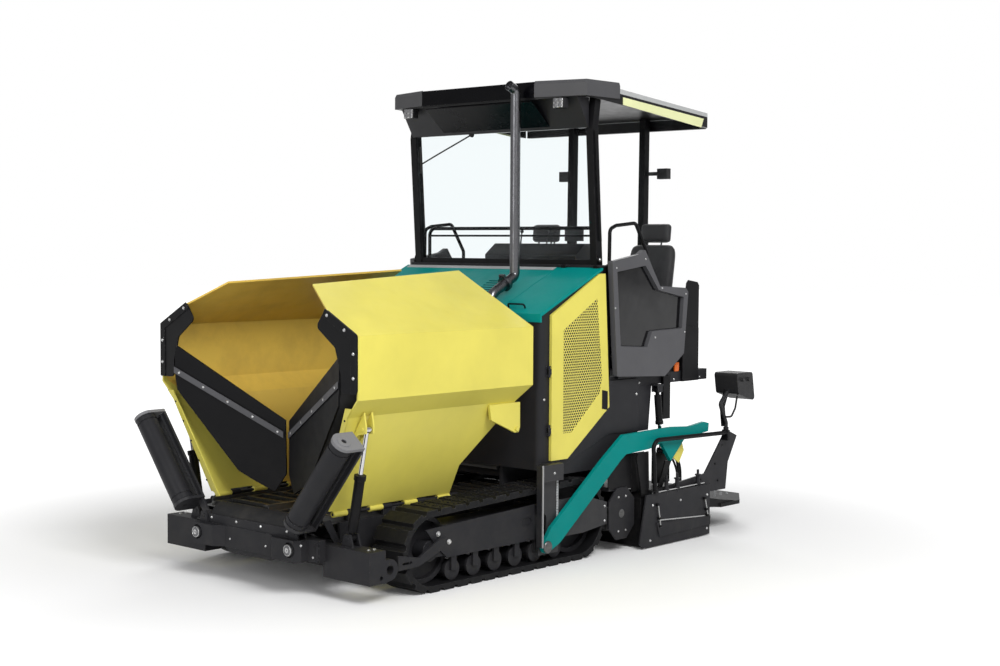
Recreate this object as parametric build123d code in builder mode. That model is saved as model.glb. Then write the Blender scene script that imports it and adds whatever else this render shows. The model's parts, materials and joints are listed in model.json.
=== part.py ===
from build123d import *
import math
import os

# Tracked asphalt paver, in millimetres. +X is the machine's left, +Y is rearward, +Z is up.
# The origin is on the ground, under the middle of the overall length.
# Stations run rearward from the front faces of the push beam's boxes.

front_reach = 283.0
rear_reach = 4445.0
box_front = -(rear_reach - front_reach) / 2
half_width = 1075.0

# Clearances: a seat, a running fit, a pin's side play, a moving piece and an open pivot
seat_gap = 0.3
pin_fit = 0.05
lug_gap = 2.0
move_gap = 5.0
open_eye_gap = 6.0

# Tracks
track_inset = 25.0
track_width = 300.0
track_out_x = half_width - track_inset
track_mid_x = track_out_x - track_width / 2
idler_y = box_front + 600.0
sprocket_y = box_front + 2130.0
idler_r = 232.0
sprocket_r = 260.0
belt_t = 25.0
shoe_t = 20.0
shoe_count = 35
shoe_gap = 12.0
shoe_angle = 68.0
wheel_clear = 0.5
tread_t = belt_t + shoe_t
idler_z = idler_r + tread_t
sprocket_z = sprocket_r + tread_t

# Track frames: the outline is a station and a height
frame_plate_t = 15.0
frame_plate_x = track_out_x - 30.0
frame_inner_x = track_mid_x - 100.0
frame_outline = (
    (545, 425),
    (1670, 470),
    (2000, 470),
    (2000, 225),
    (1470, 215),
    (747, 215),
    (649, 300),
)
frame_beam = (715.0, 2070.0, 275.0, 435.0)
frame_hole = (1552.0, 354.0, 110.0, 56.0)
axle_r = 70.0
wheel_half = 50.0
wheel_web_half = 14.0
wheel_rim_t = 34.0
roller_r = 72.0
roller_waist = 10.0
roller_flange = 26.0
roller_count = 6
roller_inset = 230.0
roller_hanger = 50.0
yoke_half = 50.0
yoke_len = 130.0

# Main frame
side_member_x = frame_inner_x - 175.0
side_member_t = 25.0
side_member_bottom_z = 230.0
floor_z = 480.0
floor_t = 10.0
frame_rear_y = box_front + 2440.0
platform_z = 1240.0
cross_tubes = (820.0, 1400.0, 1900.0)
cross_tube_half = 50.0
cross_tube_z = 380.0
engine_rails = (1850.0, 2290.0)
engine_rail_half = 30.0
engine_foot_z = 660.0
engine_top_z = 1500.0
frame_taper = 200.0
frame_lift = 60.0

# Push beam, boxes and push rollers
box_bottom_z = 138.0
box_top_z = 353.0
box_inner_x = side_member_x + 4.0
box_depth = 140.0
box_skin = 20.0
eye_plate_t = 40.0
eye_y = box_front + 180.0
eye_z = 220.0
eye_hole_r = 31.0
eye_outer_r = 70.0
small_eye = (102.0, 176.0, 15.0)
beam_front = box_front - 175.0
beam_bottom_z = 240.0
beam_top_z = 385.0
beam_contour = (
    (0, 52),
    (250, 52),
    (318, 0),
    (530, 0),
    (560, 44),
)
ear_x = 652.0
ear_front = (box_front - 72.0, box_front - 51.0)
lip_half = 440.0
lip_t = 12.0
lip_z = (400.0, 447.0)
chin_half = 270.0
chin_z = 205.0
lamp_x = 489.0
lamp_z = 320.0
lamp_r = 40.0
lamp_pocket_r = 52.0
lamp_pocket = 16.0
tow_rod = (638.0, -60.0, 9.0, 238.0, 374.0)
tow_rod_lug = 26.0
strap_x = (636.0, 644.0)
strap_outline = ((138, 352), (82, 352), (-13, 508), (50, 508))
pivot_x = 480.0
pivot_z = 430.0
pivot_r = 14.0
pivot_lug_top = 28.0
pivot_lug_foot = 45.0
push_y = box_front - 205.0
push_r = 75.0
push_pin_r = 18.0
push_low = (599.0, 518.0)
push_high = (1041.0, 1065.0)
push_groove = (34.0, 46.0, 5.0)
cap_t = 22.0
cap_over = 3.0
cap_gap = 2.0
cover_r = 46.0
cover_t = 6.0
back_plate_t = 17.0
back_plate_gap = 35.0
back_rib_t = 12.0
back_rib_h = 16.0
pivot_y = push_y + push_r + back_plate_gap + back_plate_t / 2
shin_half = 28.0
lug_t = 14.0
boss_half = 24.0
lug_reach = boss_half + lug_gap + lug_t + 4.0
rest_pin = (788.0, 712.0, 14.0, 40.0)

# Guard arms from the boxes to the track frames
guard_t = 18.0
guard_outline = ((252, 300), (252, 200), (443, 205), (655, 285), (700, 360), (640, 360), (443, 262))
guard_pin = (665.0, 325.0, 22.0)
guard_slot = (335.0, 240.0, 90.0, 18.0)

# Hopper
hinge_x = box_inner_x - 15.0
hinge_z = 535.0
hopper_front = box_front - 65.0
hopper_rear = box_front + 1613.0
wing_t = 12.0
knuckle_r = 20.0
knuckle_pin_r = 10.0
knuckle_len = 120.0
fixed_knuckle_len = 80.0
knuckle_step = 325.0
knuckle_count = 4
knuckle_start = 160.0
knuckle_gap = 3.0
knuckle_cut = 8.0
bevel_low = (hinge_x + 311.0, 1210.0)
bevel_high = (hinge_x + 422.0, 1328.0)
wing_top = (hinge_x + 422.0, 1740.0)
rim_slope = 0.53
rim_front_x = hinge_x - 169.0
rim_rear_x = hinge_x - 314.0
front_lean = 122.0
rear_lean = 143.0
flange_w = 62.0
wing_flange_t = 10.0
rear_lug = ((1268, 1200), (1290, 1091), (1480, 1010), (1535, 985), (1575, 985), (1590, 1020), (1590, 1200))
rear_lug_x = hinge_x + 300.0
rear_lug_t = 22.0
rear_lug_pin = (1552.0, 1010.0, 16.0)
apron_half = 425.0
apron_t = 12.0
apron_low = (beam_front + 60.0 + lip_t + seat_gap, 440.0)
apron_mid = (box_front - 62.0, 500.0)
apron_high = (hopper_front + 59.0, 522.0)
slat_count = 17
slat_pitch = 140.0
slat_w = 25.0
flap_t = 14.0
edge_t = 10.0
edge_round = 34.0
edge_trim = 6.0
edge_outline = (
    (hinge_x + 421.0, 1368.0),
    (hinge_x + 421.0, 1745.0),
    (hinge_x + 123.0, 1903.0),
    (hinge_x + 31.0, 1785.0),
    (hinge_x + 214.0, 1657.0),
    (hinge_x + 268.0, 1488.0),
    (hinge_x + 268.0, 1368.0),
)
trim_outline = (
    (hinge_x + 421.0, 1368.0),
    (hinge_x + 421.0, 1745.0),
    (hinge_x + 123.0, 1903.0),
    (hinge_x + 96.0, 1858.0),
    (hinge_x + 369.0, 1712.0),
    (hinge_x + 369.0, 1368.0),
)
flap_from = (hinge_x + 256.0, -70.0)
flap_to = (15.0, 235.0)
flap_outline = (
    (0.0, 1600.0),
    (900.0, 1100.0),
    (905.0, 726.0),
    (815.0, 600.0),
    (640.0, 672.0),
    (520.0, 730.0),
    (17.0, 1279.0),
    (0.0, 1385.0),
)
clamp_bar = ((6.0, 1395.0), (6.0, 1437.0), (880.0, 1025.0), (880.0, 983.0))
clamp_t = 8.0
wing_pin = (hinge_x + 336.0, 1128.0)
wing_foot = (hinge_x + 191.0, 405.0)
wing_cyl_y = box_front + 90.0
wing_pin_r = 13.0
wing_pin_end = 6.0
barrel_r = 34.0
barrel_start = 48.0
barrel_len = 430.0
collar_r = 40.0
collar_len = 34.0
rod_r = 16.0
rod_start = 235.0

# Body, engine bay and hood
body_x = half_width - 55.0
wall_t = 20.0
bulkhead_y = box_front + 1710.0
body_rear = box_front + 2868.0
body_bottom_z = 700.0
corner_r = 50.0
hood_front = (box_front + 1690.0, 1827.0)
hood_rear = (box_front + 2400.0, 2150.0)
hood_t = 16.0
hood_side = 15.0
hood_lip = 60.0
hood_seal = 0.3
lid_inner_x = body_x - 420.0
lid_gap = 6.0
lid_pin_r = 5.0
lid_knuckle_r = 9.0
lid_pin = (hood_rear[0] - 10.0, hood_rear[1] + lid_knuckle_r + 2.0)
lid_knuckle_half = 20.0
lid_hinge_x = (body_x - 360.0, body_x - 45.0)
lid_handle = (lid_inner_x + 70.0, lid_inner_x + 230.0, 70.0, 34.0, 7.0)
louvre_count = 6
louvre_pitch = 34.0
louvre_w = 15.0
louvre_d = 9.0
louvre_x = (100.0, 380.0)
louvre_y = 1990.0
door_front = box_front + 1806.0
door_rear = box_front + 2475.0
door_bottom_z = 765.0
door_t = 24.0
door_gap = 3.0
door_sheet_t = 3.0
door_outline = ((1806, 765), (1806, 1816), (2356, 2108), (2415, 2108), (2475, 1110), (1989, 765))
door_field = ((1936, 954), (1936, 1705), (2321, 1925), (2383, 1334), (2355, 1222), (2031, 954))
door_opening = ((1866, 815), (1866, 1800), (2365, 2040), (2365, 1200), (2100, 815))
door_pin = (body_x + 16.0, door_front - 16.0)
door_pin_r = 5.0
door_knuckle_r = 10.0
door_knuckle_half = 20.0
door_hinge_z = (985.0, 1410.0)
exhaust_x = 470.0
exhaust_r = 38.0
exhaust_wall = 4.0
elbow_y = box_front + 1785.0
flange = (box_front + 1938.0, 2029.0)
flange_r = 58.0
flange_t = 14.0
flange_tilt = 28.0
fold_pin_r = 5.0
fold_knuckle_r = 10.0
fold_pin_out = flange_r + fold_knuckle_r + 1.0
stack_y = box_front + 2045.0
stack_top_z = 3470.0
mouth_reach = 75.0
mouth_rise = 30.0

# Operator platform
deck_front = box_front + 2412.0
deck_rear = box_front + 3800.0
deck_half = half_width - 75.0
deck_t = 25.0
deck_step = 60.0
bay_wall_t = 26.0
shelf_t = 16.0
console_x = deck_half + 28.0
rail_r = 14.0
deck_z = platform_z + deck_step + deck_t
shelf_z = hood_rear[1] + 20.0
console_outline = (
    (2461, 2198),
    (2789, 2250),
    (2861, 2287),
    (3057, 2006),
    (3396, 1987),
    (3430, 1954),
    (3380, 1471),
    (3130, 1304),
    (2532, 1334),
)
console_recess = (
    (2520, 2120),
    (2870, 2165),
    (3040, 1975),
    (3370, 1915),
    (3350, 1670),
    (2960, 1660),
    (2900, 1540),
    (2570, 1560),
)
console_window = ((2560, 2080), (2850, 2115), (2985, 1960), (2985, 1760), (2880, 1690), (2850, 1610), (2600, 1620))
console_frame_t = 12.0
console_foot_lug = ((2600, 1310), (3100, 1310), (3080, 1400), (2620, 1400))
console_round = 10.0
rear_panel_outline = ((3440, 1240), (3440, 1690), (3655, 1660), (3655, 1240))
rear_panel_t = 20.0
pillar_y = 3180.0
pillar_w = 26.0
pillar_d = 90.0
pillar_z = (960.0, 1300.0)
seat_x = 590.0
seat_front = box_front + 3080.0
seat_half = 240.0
seat_z = 1600.0
cushion_t = 120.0
dash_outline = ((2700, 2120), (2700, 2240), (2820, 2330), (2920, 2330), (2960, 2120))
dash_x = (-440.0, 520.0)
dash_post_x = (-60.0, 120.0)
screen_x = (300.0, 470.0)
screen_z = (2350.0, 2465.0)
lever_x = (-300.0, -220.0, 60.0, 140.0)
rail_half = 880.0

# Canopy
post_x = half_width - 145.0
post_half = 30.0
rear_post_x = 382.0
rear_post_y = box_front + 3757.0
roof_half = half_width - 65.0
roof_nose = box_front + 2115.0
roof_corner_y = box_front + 2222.0
roof_corner_x = roof_half - 420.0
roof_rear = box_front + 3832.0
roof_front_z = 3530.0
roof_rear_z = 3375.0
roof_rim = 115.0
roof_t = 25.0
roof_border = 40.0
cap_skin = 12.0
cap_rear = box_front + 2616.0

# Tow points, tow arms, screed and augers
column_y0 = box_front + 1643.0
column_y1 = box_front + 1858.0
column_bottom_z = 104.0
column_top_z = 723.0
column_head = 90.0
tow_pin = (box_front + 1696.0, 164.0)
tow_pin_r = 30.0
tow_disc_r = 44.0
tow_disc_t = 14.0
tow_slot = 62.0
tow_travel = 200.0
arm_x = half_width + 3.0
arm_t = 30.0
tow_gap = 6.0
tow_plate_t = 12.0
column_x = arm_x - tow_gap - tow_plate_t
column_out = arm_x + arm_t + tow_plate_t
arm_width = 156.0
arm_end_r = 46.0
arm_taper = 120.0
arm_bend = (2548.0, 709.0)
arm_line = ((1829.0, 155.0), (2548.0, 709.0))
arm_tail = (
    (2548, 709),
    (2607, 744),
    (2898, 758),
    (3052, 790),
    (3176, 638),
    (3359, 799),
    (3679, 831),
    (3686, 895),
    (3622, 911),
    (3421, 889),
    (3189, 904),
    (2571, 894),
    (2328, 731),
)
cover_outline = ((1858, 205), (1858, 480), (2150, 480), (2425, 400), (2425, 235), (2150, 205))
cover_plate_t = 10.0
scale_t = 2.0
scale_w = 26.0
auger_y = box_front + 2600.0
auger_z = 292.0
auger_r = 150.0
auger_shaft_r = 32.0
auger_half = half_width - 25.0
auger_pitch = 240.0
flight_t = 12.0
auger_start = 60.0
end_plate_t = 15.0
end_plate_half = (60.0, 155.0)
end_plate_high = (196.0, 100.0)
screed_front = box_front + 2790.0
screed_rear = box_front + 3620.0
screed_half = half_width + 33.0
screed_plate_t = 14.0
gate_gap = 23.0
screed_gate_x = screed_half + screed_plate_t + gate_gap
gate_t = 14.0
gate_top_z = 415.0
gate_outline = ((2760, 10), (2720, 50), (2800, gate_top_z), (3640, gate_top_z), (3640, 10))
gate_slide = ((2921, 187), (3635, 160), (3635, 90), (2958, 76))
gate_screws = (3060.0, 3200.0, 3480.0)
gate_bolts = ((2980.0, 390.0), (3540.0, 390.0))
screed_section = (
    (2790, 10),
    (2790, 380),
    (2830, 440),
    (3120, 440),
    (3170, 400),
    (3320, 380),
    (3620, 380),
    (3620, 10),
)
screed_hollow = ((2804, 60), (2804, 376), (2836, 424), (3114, 424), (3165, 384), (3318, 364), (3606, 364), (3606, 60))
hanger_outline = ((3060, 440), (3150, 640), (3230, 640), (3110, 440))
bracket_outline = (
    (2860, 353),
    (2890, 429),
    (3619, 496),
    (3891, 802),
    (3919, 825),
    (4068, 765),
    (3942, 557),
    (3911, 340),
)
walk_y = (3870.0, 4143.0)
walk_half = 900.0
walkway_t = 30.0
hanger_strip = ((3620, 300), (3620, 220), (3870, 190), (4100, 190), (4100, 220), (3900, 250))
post_foot = (3919.0, 845.0)
control_outline = ((3900, 1290), (3930, 1120), (4170, 1050), (4130, 1290))
control_half = 110.0
knob_y = (3975.0, 4060.0)
walkway_z = 190.0
rail_x = screed_gate_x + 15.0
lift_x = half_width - 43.0
lift_pin_r = 12.0
lift_top = (box_front + 3090.0, 1200.0)
lift_eye = (box_front + 3150.0, 715.0)
lift_barrel_r = 28.0
lift_rod_r = 15.0
lift_eye_half = lift_barrel_r

os.makedirs("parts", exist_ok=True)


def keep(builder, name):
    """Label a finished piece and write it."""
    builder.part.label = name
    export_step(builder.part, f"parts/{name}.step")


def placed(points):
    """Stations and heights as places in Y and Z."""
    return [(box_front + station, height) for station, height in points]


def block(x0, x1, y0, y1, z0, z1, mode=Mode.ADD):
    """A box between two corners."""
    with Locations(((x0 + x1) / 2, (y0 + y1) / 2, (z0 + z1) / 2)):
        Box(abs(x1 - x0), abs(y1 - y0), abs(z1 - z0), mode=mode)


def side_plate(points, x0, x1, mode=Mode.ADD, bend=0.0):
    """A plate whose outline is given in Y and Z, from x0 to x1, its corners rounded by a bend."""
    with BuildSketch(Plane.YZ.offset(x0)) as outline:
        with BuildLine():
            if bend:
                FilletPolyline(*points, radius=bend, close=True)
            else:
                Polyline(*points, close=True)
        make_face()
    extrude(outline.sketch, amount=x1 - x0, mode=mode)


def front_plate(points, y0, y1, mode=Mode.ADD, bend=0.0):
    """A plate whose outline is given in X and Z, from y0 to y1, its corners rounded by a bend."""
    with BuildSketch(Plane.XZ.offset(-y0)) as outline:
        with BuildLine():
            if bend:
                FilletPolyline(*points, radius=bend, close=True)
            else:
                Polyline(*points, close=True)
        make_face()
    extrude(outline.sketch, amount=y0 - y1, mode=mode)


def rod(start, end, radius, mode=Mode.ADD):
    """A round bar between two points."""
    a = Vector(*start)
    b = Vector(*end)
    with BuildSketch(Plane(origin=a, z_dir=b - a)) as outline:
        Circle(radius)
    extrude(outline.sketch, amount=(b - a).length, mode=mode)


def turned(start, direction, profile, mode=Mode.ADD):
    """A piece turned about an axis; its profile is given as runs along the axis and radii."""
    along = Vector(*direction).normalized()
    across = along.cross(Vector(0, 0, 1))
    if across.length < 0.1:
        across = along.cross(Vector(1, 0, 0))
    with BuildSketch(Plane(origin=start, x_dir=along, z_dir=across)) as outline:
        with BuildLine():
            Polyline(*profile, close=True)
        make_face()
    revolve(outline.sketch, axis=Axis(start, along), mode=mode)


def tube_path(points, radius, bend):
    """A round bar bent along straight runs and tangent arcs."""
    with BuildLine() as path:
        FilletPolyline(*points, radius=bend)
    with BuildSketch(Plane(origin=path.line @ 0, z_dir=path.line % 0)) as outline:
        Circle(radius)
    sweep(outline.sketch, path=path.line)


def mirrored(builder, name):
    """The same piece on the machine's right."""
    with BuildPart() as other:
        mirror(builder.part, about=Plane.YZ)
    keep(other, name)


# Tracks: a closed band round idler and sprocket, with the shoes in its outline
with BuildPart() as track_left:
    with BuildSketch(Plane.YZ.offset(track_out_x - track_width)) as loop:
        with Locations((idler_y, idler_z)):
            Circle(idler_r + belt_t)
        with Locations((sprocket_y, sprocket_z)):
            Circle(sprocket_r + belt_t)
        make_hull()
        rim = loop.sketch.faces()[0].outer_wire()
        pitch = rim.length / shoe_count
        for n in range(shoe_count):
            spot = rim.position_at(n / shoe_count)
            along = rim.tangent_at(n / shoe_count)
            out_y = spot.Y - (idler_y + sprocket_y) / 2
            out_z = spot.Z - (idler_z + sprocket_z) / 2
            turn = math.degrees(math.atan2(along.Z, along.Y))
            if along.Y * out_z - along.Z * out_y < 0:
                turn = turn + 180
            with Locations(Location((spot.Y, spot.Z, 0), (0, 0, turn))):
                Trapezoid(pitch - shoe_gap, 2 * shoe_t, shoe_angle)
        with BuildSketch(mode=Mode.PRIVATE) as inner:
            with Locations((idler_y, idler_z)):
                Circle(idler_r)
            with Locations((sprocket_y, sprocket_z)):
                Circle(sprocket_r)
            make_hull()
        add(inner.sketch, mode=Mode.SUBTRACT)
    extrude(amount=track_width)
keep(track_left, "track_left")
mirrored(track_left, "track_right")

# Track frames with idler, sprocket and rollers
with BuildPart() as track_frames:
    block(frame_inner_x, frame_plate_x, box_front + frame_beam[0], box_front + frame_beam[1], *frame_beam[2:])
    side_plate(placed(frame_outline), frame_plate_x, frame_plate_x + frame_plate_t)
    with BuildSketch(Plane.YZ.offset(frame_plate_x + frame_plate_t / 2)):
        with Locations((box_front + frame_hole[0], frame_hole[1])):
            SlotOverall(frame_hole[2], frame_hole[3])
    extrude(amount=frame_plate_t, mode=Mode.SUBTRACT)
    for y, z, r in ((idler_y, idler_z, idler_r), (sprocket_y, sprocket_z, sprocket_r)):
        turned(
            (track_mid_x, y, z),
            (1, 0, 0),
            [
                (-wheel_half, r - wheel_rim_t),
                (-wheel_half, r - wheel_clear),
                (wheel_half, r - wheel_clear),
                (wheel_half, r - wheel_rim_t),
                (wheel_web_half, r - wheel_rim_t),
                (wheel_web_half, axle_r - 1),
                (-wheel_web_half, axle_r - 1),
                (-wheel_web_half, r - wheel_rim_t),
            ],
        )
        rod((frame_inner_x, y, z), (frame_plate_x, y, z), axle_r)
    for n in range(roller_count):
        y = idler_y + roller_inset + n * (sprocket_y - idler_y - 2 * roller_inset) / (roller_count - 1)
        z = tread_t + wheel_clear + roller_r
        turned(
            (frame_inner_x + 20, y, z),
            (1, 0, 0),
            [
                (0, 0),
                (0, roller_r),
                (roller_flange, roller_r),
                (roller_flange, roller_r - roller_waist),
                (frame_plate_x - frame_inner_x - 40 - roller_flange, roller_r - roller_waist),
                (frame_plate_x - frame_inner_x - 40 - roller_flange, roller_r),
                (frame_plate_x - frame_inner_x - 40, roller_r),
                (frame_plate_x - frame_inner_x - 40, 0),
            ],
        )
        for x in (frame_inner_x, frame_plate_x - 20):
            block(x, x + 20, y - roller_hanger / 2, y + roller_hanger / 2, z, frame_beam[2] + 1)
    for y0, z in ((idler_y, idler_z), (sprocket_y - yoke_half, sprocket_z)):
        block(frame_inner_x, frame_plate_x, y0, y0 + yoke_len, z - yoke_half, z + yoke_half)
    mirror(about=Plane.YZ)
keep(track_frames, "track_frames")

# Main frame: two side members and the cross tubes to the track frames
with BuildPart() as main_frame:
    for side in (-1, 1):
        member_in = side * side_member_x - side_member_t / 2
        member_out = side * side_member_x + side_member_t / 2
        side_plate(
            [
                (box_front + box_depth, side_member_bottom_z),
                (box_front + box_depth, floor_z),
                (frame_rear_y, floor_z),
                (frame_rear_y, side_member_bottom_z + frame_lift),
                (frame_rear_y - frame_taper, side_member_bottom_z),
            ],
            member_in,
            member_out,
        )
        side_plate(
            [
                (bulkhead_y + wall_t + seat_gap, floor_z - 1),
                (bulkhead_y + wall_t + seat_gap, body_bottom_z + 200),
                (deck_front - 40, body_bottom_z + 260),
                (deck_front - 40, platform_z - seat_gap),
                (body_rear - wall_t - seat_gap, platform_z - seat_gap),
                (body_rear - wall_t - seat_gap, platform_z - 120),
                (frame_rear_y, body_bottom_z + 20),
                (frame_rear_y, floor_z - 1),
            ],
            member_in,
            member_out,
        )
        for n in range(knuckle_count):
            y = hopper_front + knuckle_start + n * knuckle_step + knuckle_len + knuckle_gap
            rod((side * hinge_x, y, hinge_z), (side * hinge_x, y + fixed_knuckle_len, hinge_z), knuckle_r)
            block(side * (hinge_x - 14), side * (hinge_x + 14), y, y + fixed_knuckle_len, floor_z, hinge_z)
        y = hopper_front + knuckle_start
        run = (knuckle_count - 1) * knuckle_step + knuckle_len
        rod((side * hinge_x, y, hinge_z), (side * hinge_x, y + run + 40, hinge_z), knuckle_pin_r)
    for station in cross_tubes:
        y = box_front + station
        block(
            -frame_inner_x,
            frame_inner_x,
            y - cross_tube_half,
            y + cross_tube_half,
            cross_tube_z - cross_tube_half,
            cross_tube_z + cross_tube_half,
        )
    for station in engine_rails:
        y = box_front + station
        block(
            -side_member_x,
            side_member_x,
            y - engine_rail_half,
            y + engine_rail_half,
            engine_foot_z - 2 * engine_rail_half,
            engine_foot_z - seat_gap,
        )
    block(
        -box_inner_x - 60,
        box_inner_x + 60,
        box_front + box_depth,
        box_front + box_depth + box_skin,
        box_bottom_z + 30,
        box_top_z - 13,
    )
    block(-side_member_x, side_member_x, deck_front, deck_front + 100, platform_z - 80, platform_z - seat_gap)
keep(main_frame, "main_frame")

# Push beam: contoured beam with its lamps and lip, the two boxes with eye plates, roller pivots
with BuildPart() as push_beam:
    contour = [(x, beam_front + y) for x, y in beam_contour]
    contour = contour + [(beam_contour[-1][0], box_front - seat_gap)]
    contour = contour + [(-x, y) for x, y in reversed(contour)]
    with BuildSketch(Plane.XY.offset(beam_bottom_z)):
        with BuildLine():
            Polyline(*contour, close=True)
        make_face()
    extrude(amount=beam_top_z - beam_bottom_z)
    for side in (-1, 1):
        with BuildSketch(Plane.XY.offset(beam_bottom_z)):
            with BuildLine():
                Polyline(
                    (side * (beam_contour[-1][0] + seat_gap), ear_front[0]),
                    (side * ear_x, ear_front[1]),
                    (side * ear_x, box_front - seat_gap),
                    (side * (beam_contour[-1][0] + seat_gap), box_front - seat_gap),
                    close=True,
                )
            make_face()
        extrude(amount=beam_top_z - beam_bottom_z)
    front_plate(
        [
            (-chin_half, beam_bottom_z + 1),
            (-chin_half + 50, chin_z),
            (chin_half - 50, chin_z),
            (chin_half, beam_bottom_z + 1),
        ],
        beam_front + beam_contour[0][1] + 12,
        box_front - seat_gap,
    )
    block(-lip_half, lip_half, beam_front + 60, beam_front + 60 + lip_t, beam_top_z - 1, lip_z[1])
    block(-lip_half, lip_half, beam_front + 60 + lip_t - 1, box_front - 60, beam_top_z - 1, lip_z[0])
    block(
        -half_width + eye_plate_t,
        half_width - eye_plate_t,
        box_front,
        box_front + box_depth,
        box_bottom_z,
        box_top_z,
    )
    block(
        -box_inner_x,
        box_inner_x,
        box_front - seat_gap / 2,
        box_front + box_depth + 1,
        box_bottom_z - 1,
        beam_bottom_z,
        mode=Mode.SUBTRACT,
    )
    for side in (-1, 1):
        outer = side * half_width
        inner = side * (half_width - eye_plate_t)
        side_plate(
            [
                (box_front, box_bottom_z),
                (box_front, box_top_z),
                (box_front + box_depth, box_top_z),
                (box_front + box_depth, eye_z + eye_outer_r),
                (eye_y, eye_z + eye_outer_r),
                (eye_y, eye_z - eye_outer_r),
                (box_front + box_depth, box_bottom_z),
            ],
            inner,
            outer,
        )
        rod((inner, eye_y, eye_z), (outer, eye_y, eye_z), eye_outer_r)
        rod((inner - side, eye_y, eye_z), (outer + side, eye_y, eye_z), eye_hole_r, mode=Mode.SUBTRACT)
        rod(
            (outer - side * eye_plate_t / 2, box_front + small_eye[0], small_eye[1]),
            (outer + side, box_front + small_eye[0], small_eye[1]),
            small_eye[2],
            mode=Mode.SUBTRACT,
        )
        for y in (pivot_y - boss_half - lug_gap - lug_t, pivot_y + boss_half + lug_gap):
            front_plate(
                [
                    (side * (pivot_x - pivot_lug_foot), beam_top_z - 1),
                    (side * (pivot_x - pivot_lug_top), pivot_z + pivot_lug_top),
                    (side * (pivot_x + pivot_lug_top), pivot_z + pivot_lug_top),
                    (side * (pivot_x + pivot_lug_foot), beam_top_z - 1),
                ],
                y,
                y + lug_t,
            )
        rod((side * pivot_x, pivot_y - lug_reach, pivot_z), (side * pivot_x, pivot_y + lug_reach, pivot_z), pivot_r)
        rod(
            (side * wing_foot[0], wing_cyl_y - lug_reach, wing_foot[1]),
            (side * wing_foot[0], wing_cyl_y + lug_reach, wing_foot[1]),
            pivot_r,
        )
        for y in (wing_cyl_y - boss_half - lug_gap - lug_t, wing_cyl_y + boss_half + lug_gap):
            front_plate(
                [
                    (side * (wing_foot[0] - 2 * pivot_lug_top), box_top_z - 1),
                    (side * (wing_foot[0] - pivot_lug_top), wing_foot[1] + pivot_lug_top),
                    (side * (wing_foot[0] + pivot_lug_top), wing_foot[1] + pivot_lug_top),
                    (side * (wing_foot[0] + 2 * pivot_lug_top), box_top_z - 1),
                ],
                y,
                y + lug_t,
            )
        lamp_face = (side * lamp_x, beam_front, lamp_z)
        turned(lamp_face, (0, 1, 0), [(-1, 0), (-1, lamp_pocket_r), (lamp_pocket, lamp_pocket_r - 8), (lamp_pocket, 0)],
               mode=Mode.SUBTRACT)
        turned(
            lamp_face,
            (0, 1, 0),
            [(lamp_pocket + 1, 0), (lamp_pocket + 1, lamp_r), (4, lamp_r), (0, lamp_r - 6), (-4, lamp_r - 18), (-6, 0)],
        )
        side_plate(placed(strap_outline), side * strap_x[0], side * strap_x[1])
        rod(
            (side * tow_rod[0], box_front + tow_rod[1], tow_rod[3]),
            (side * tow_rod[0], box_front + tow_rod[1], tow_rod[4]),
            tow_rod[2],
        )
        for z in (beam_bottom_z + 8, beam_top_z - 30):
            block(
                side * (tow_rod[0] - 14),
                side * (tow_rod[0] + 14),
                box_front + tow_rod[1] - 12,
                box_front - 45,
                z,
                z + 12,
            )
keep(push_beam, "push_beam")

with BuildPart() as guard_arms:
    side_plate(placed(guard_outline), half_width - guard_t, half_width)
    with BuildSketch(Plane.YZ.offset(half_width - guard_t - 1)):
        with Locations((box_front + guard_slot[0], guard_slot[1])):
            SlotOverall(guard_slot[2], guard_slot[3])
    extrude(amount=guard_t + 2, mode=Mode.SUBTRACT)
    rod(
        (frame_plate_x + frame_plate_t, box_front + guard_pin[0], guard_pin[1]),
        (half_width - guard_t, box_front + guard_pin[0], guard_pin[1]),
        guard_pin[2],
    )
    mirror(about=Plane.YZ)
keep(guard_arms, "guard_arms")

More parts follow.
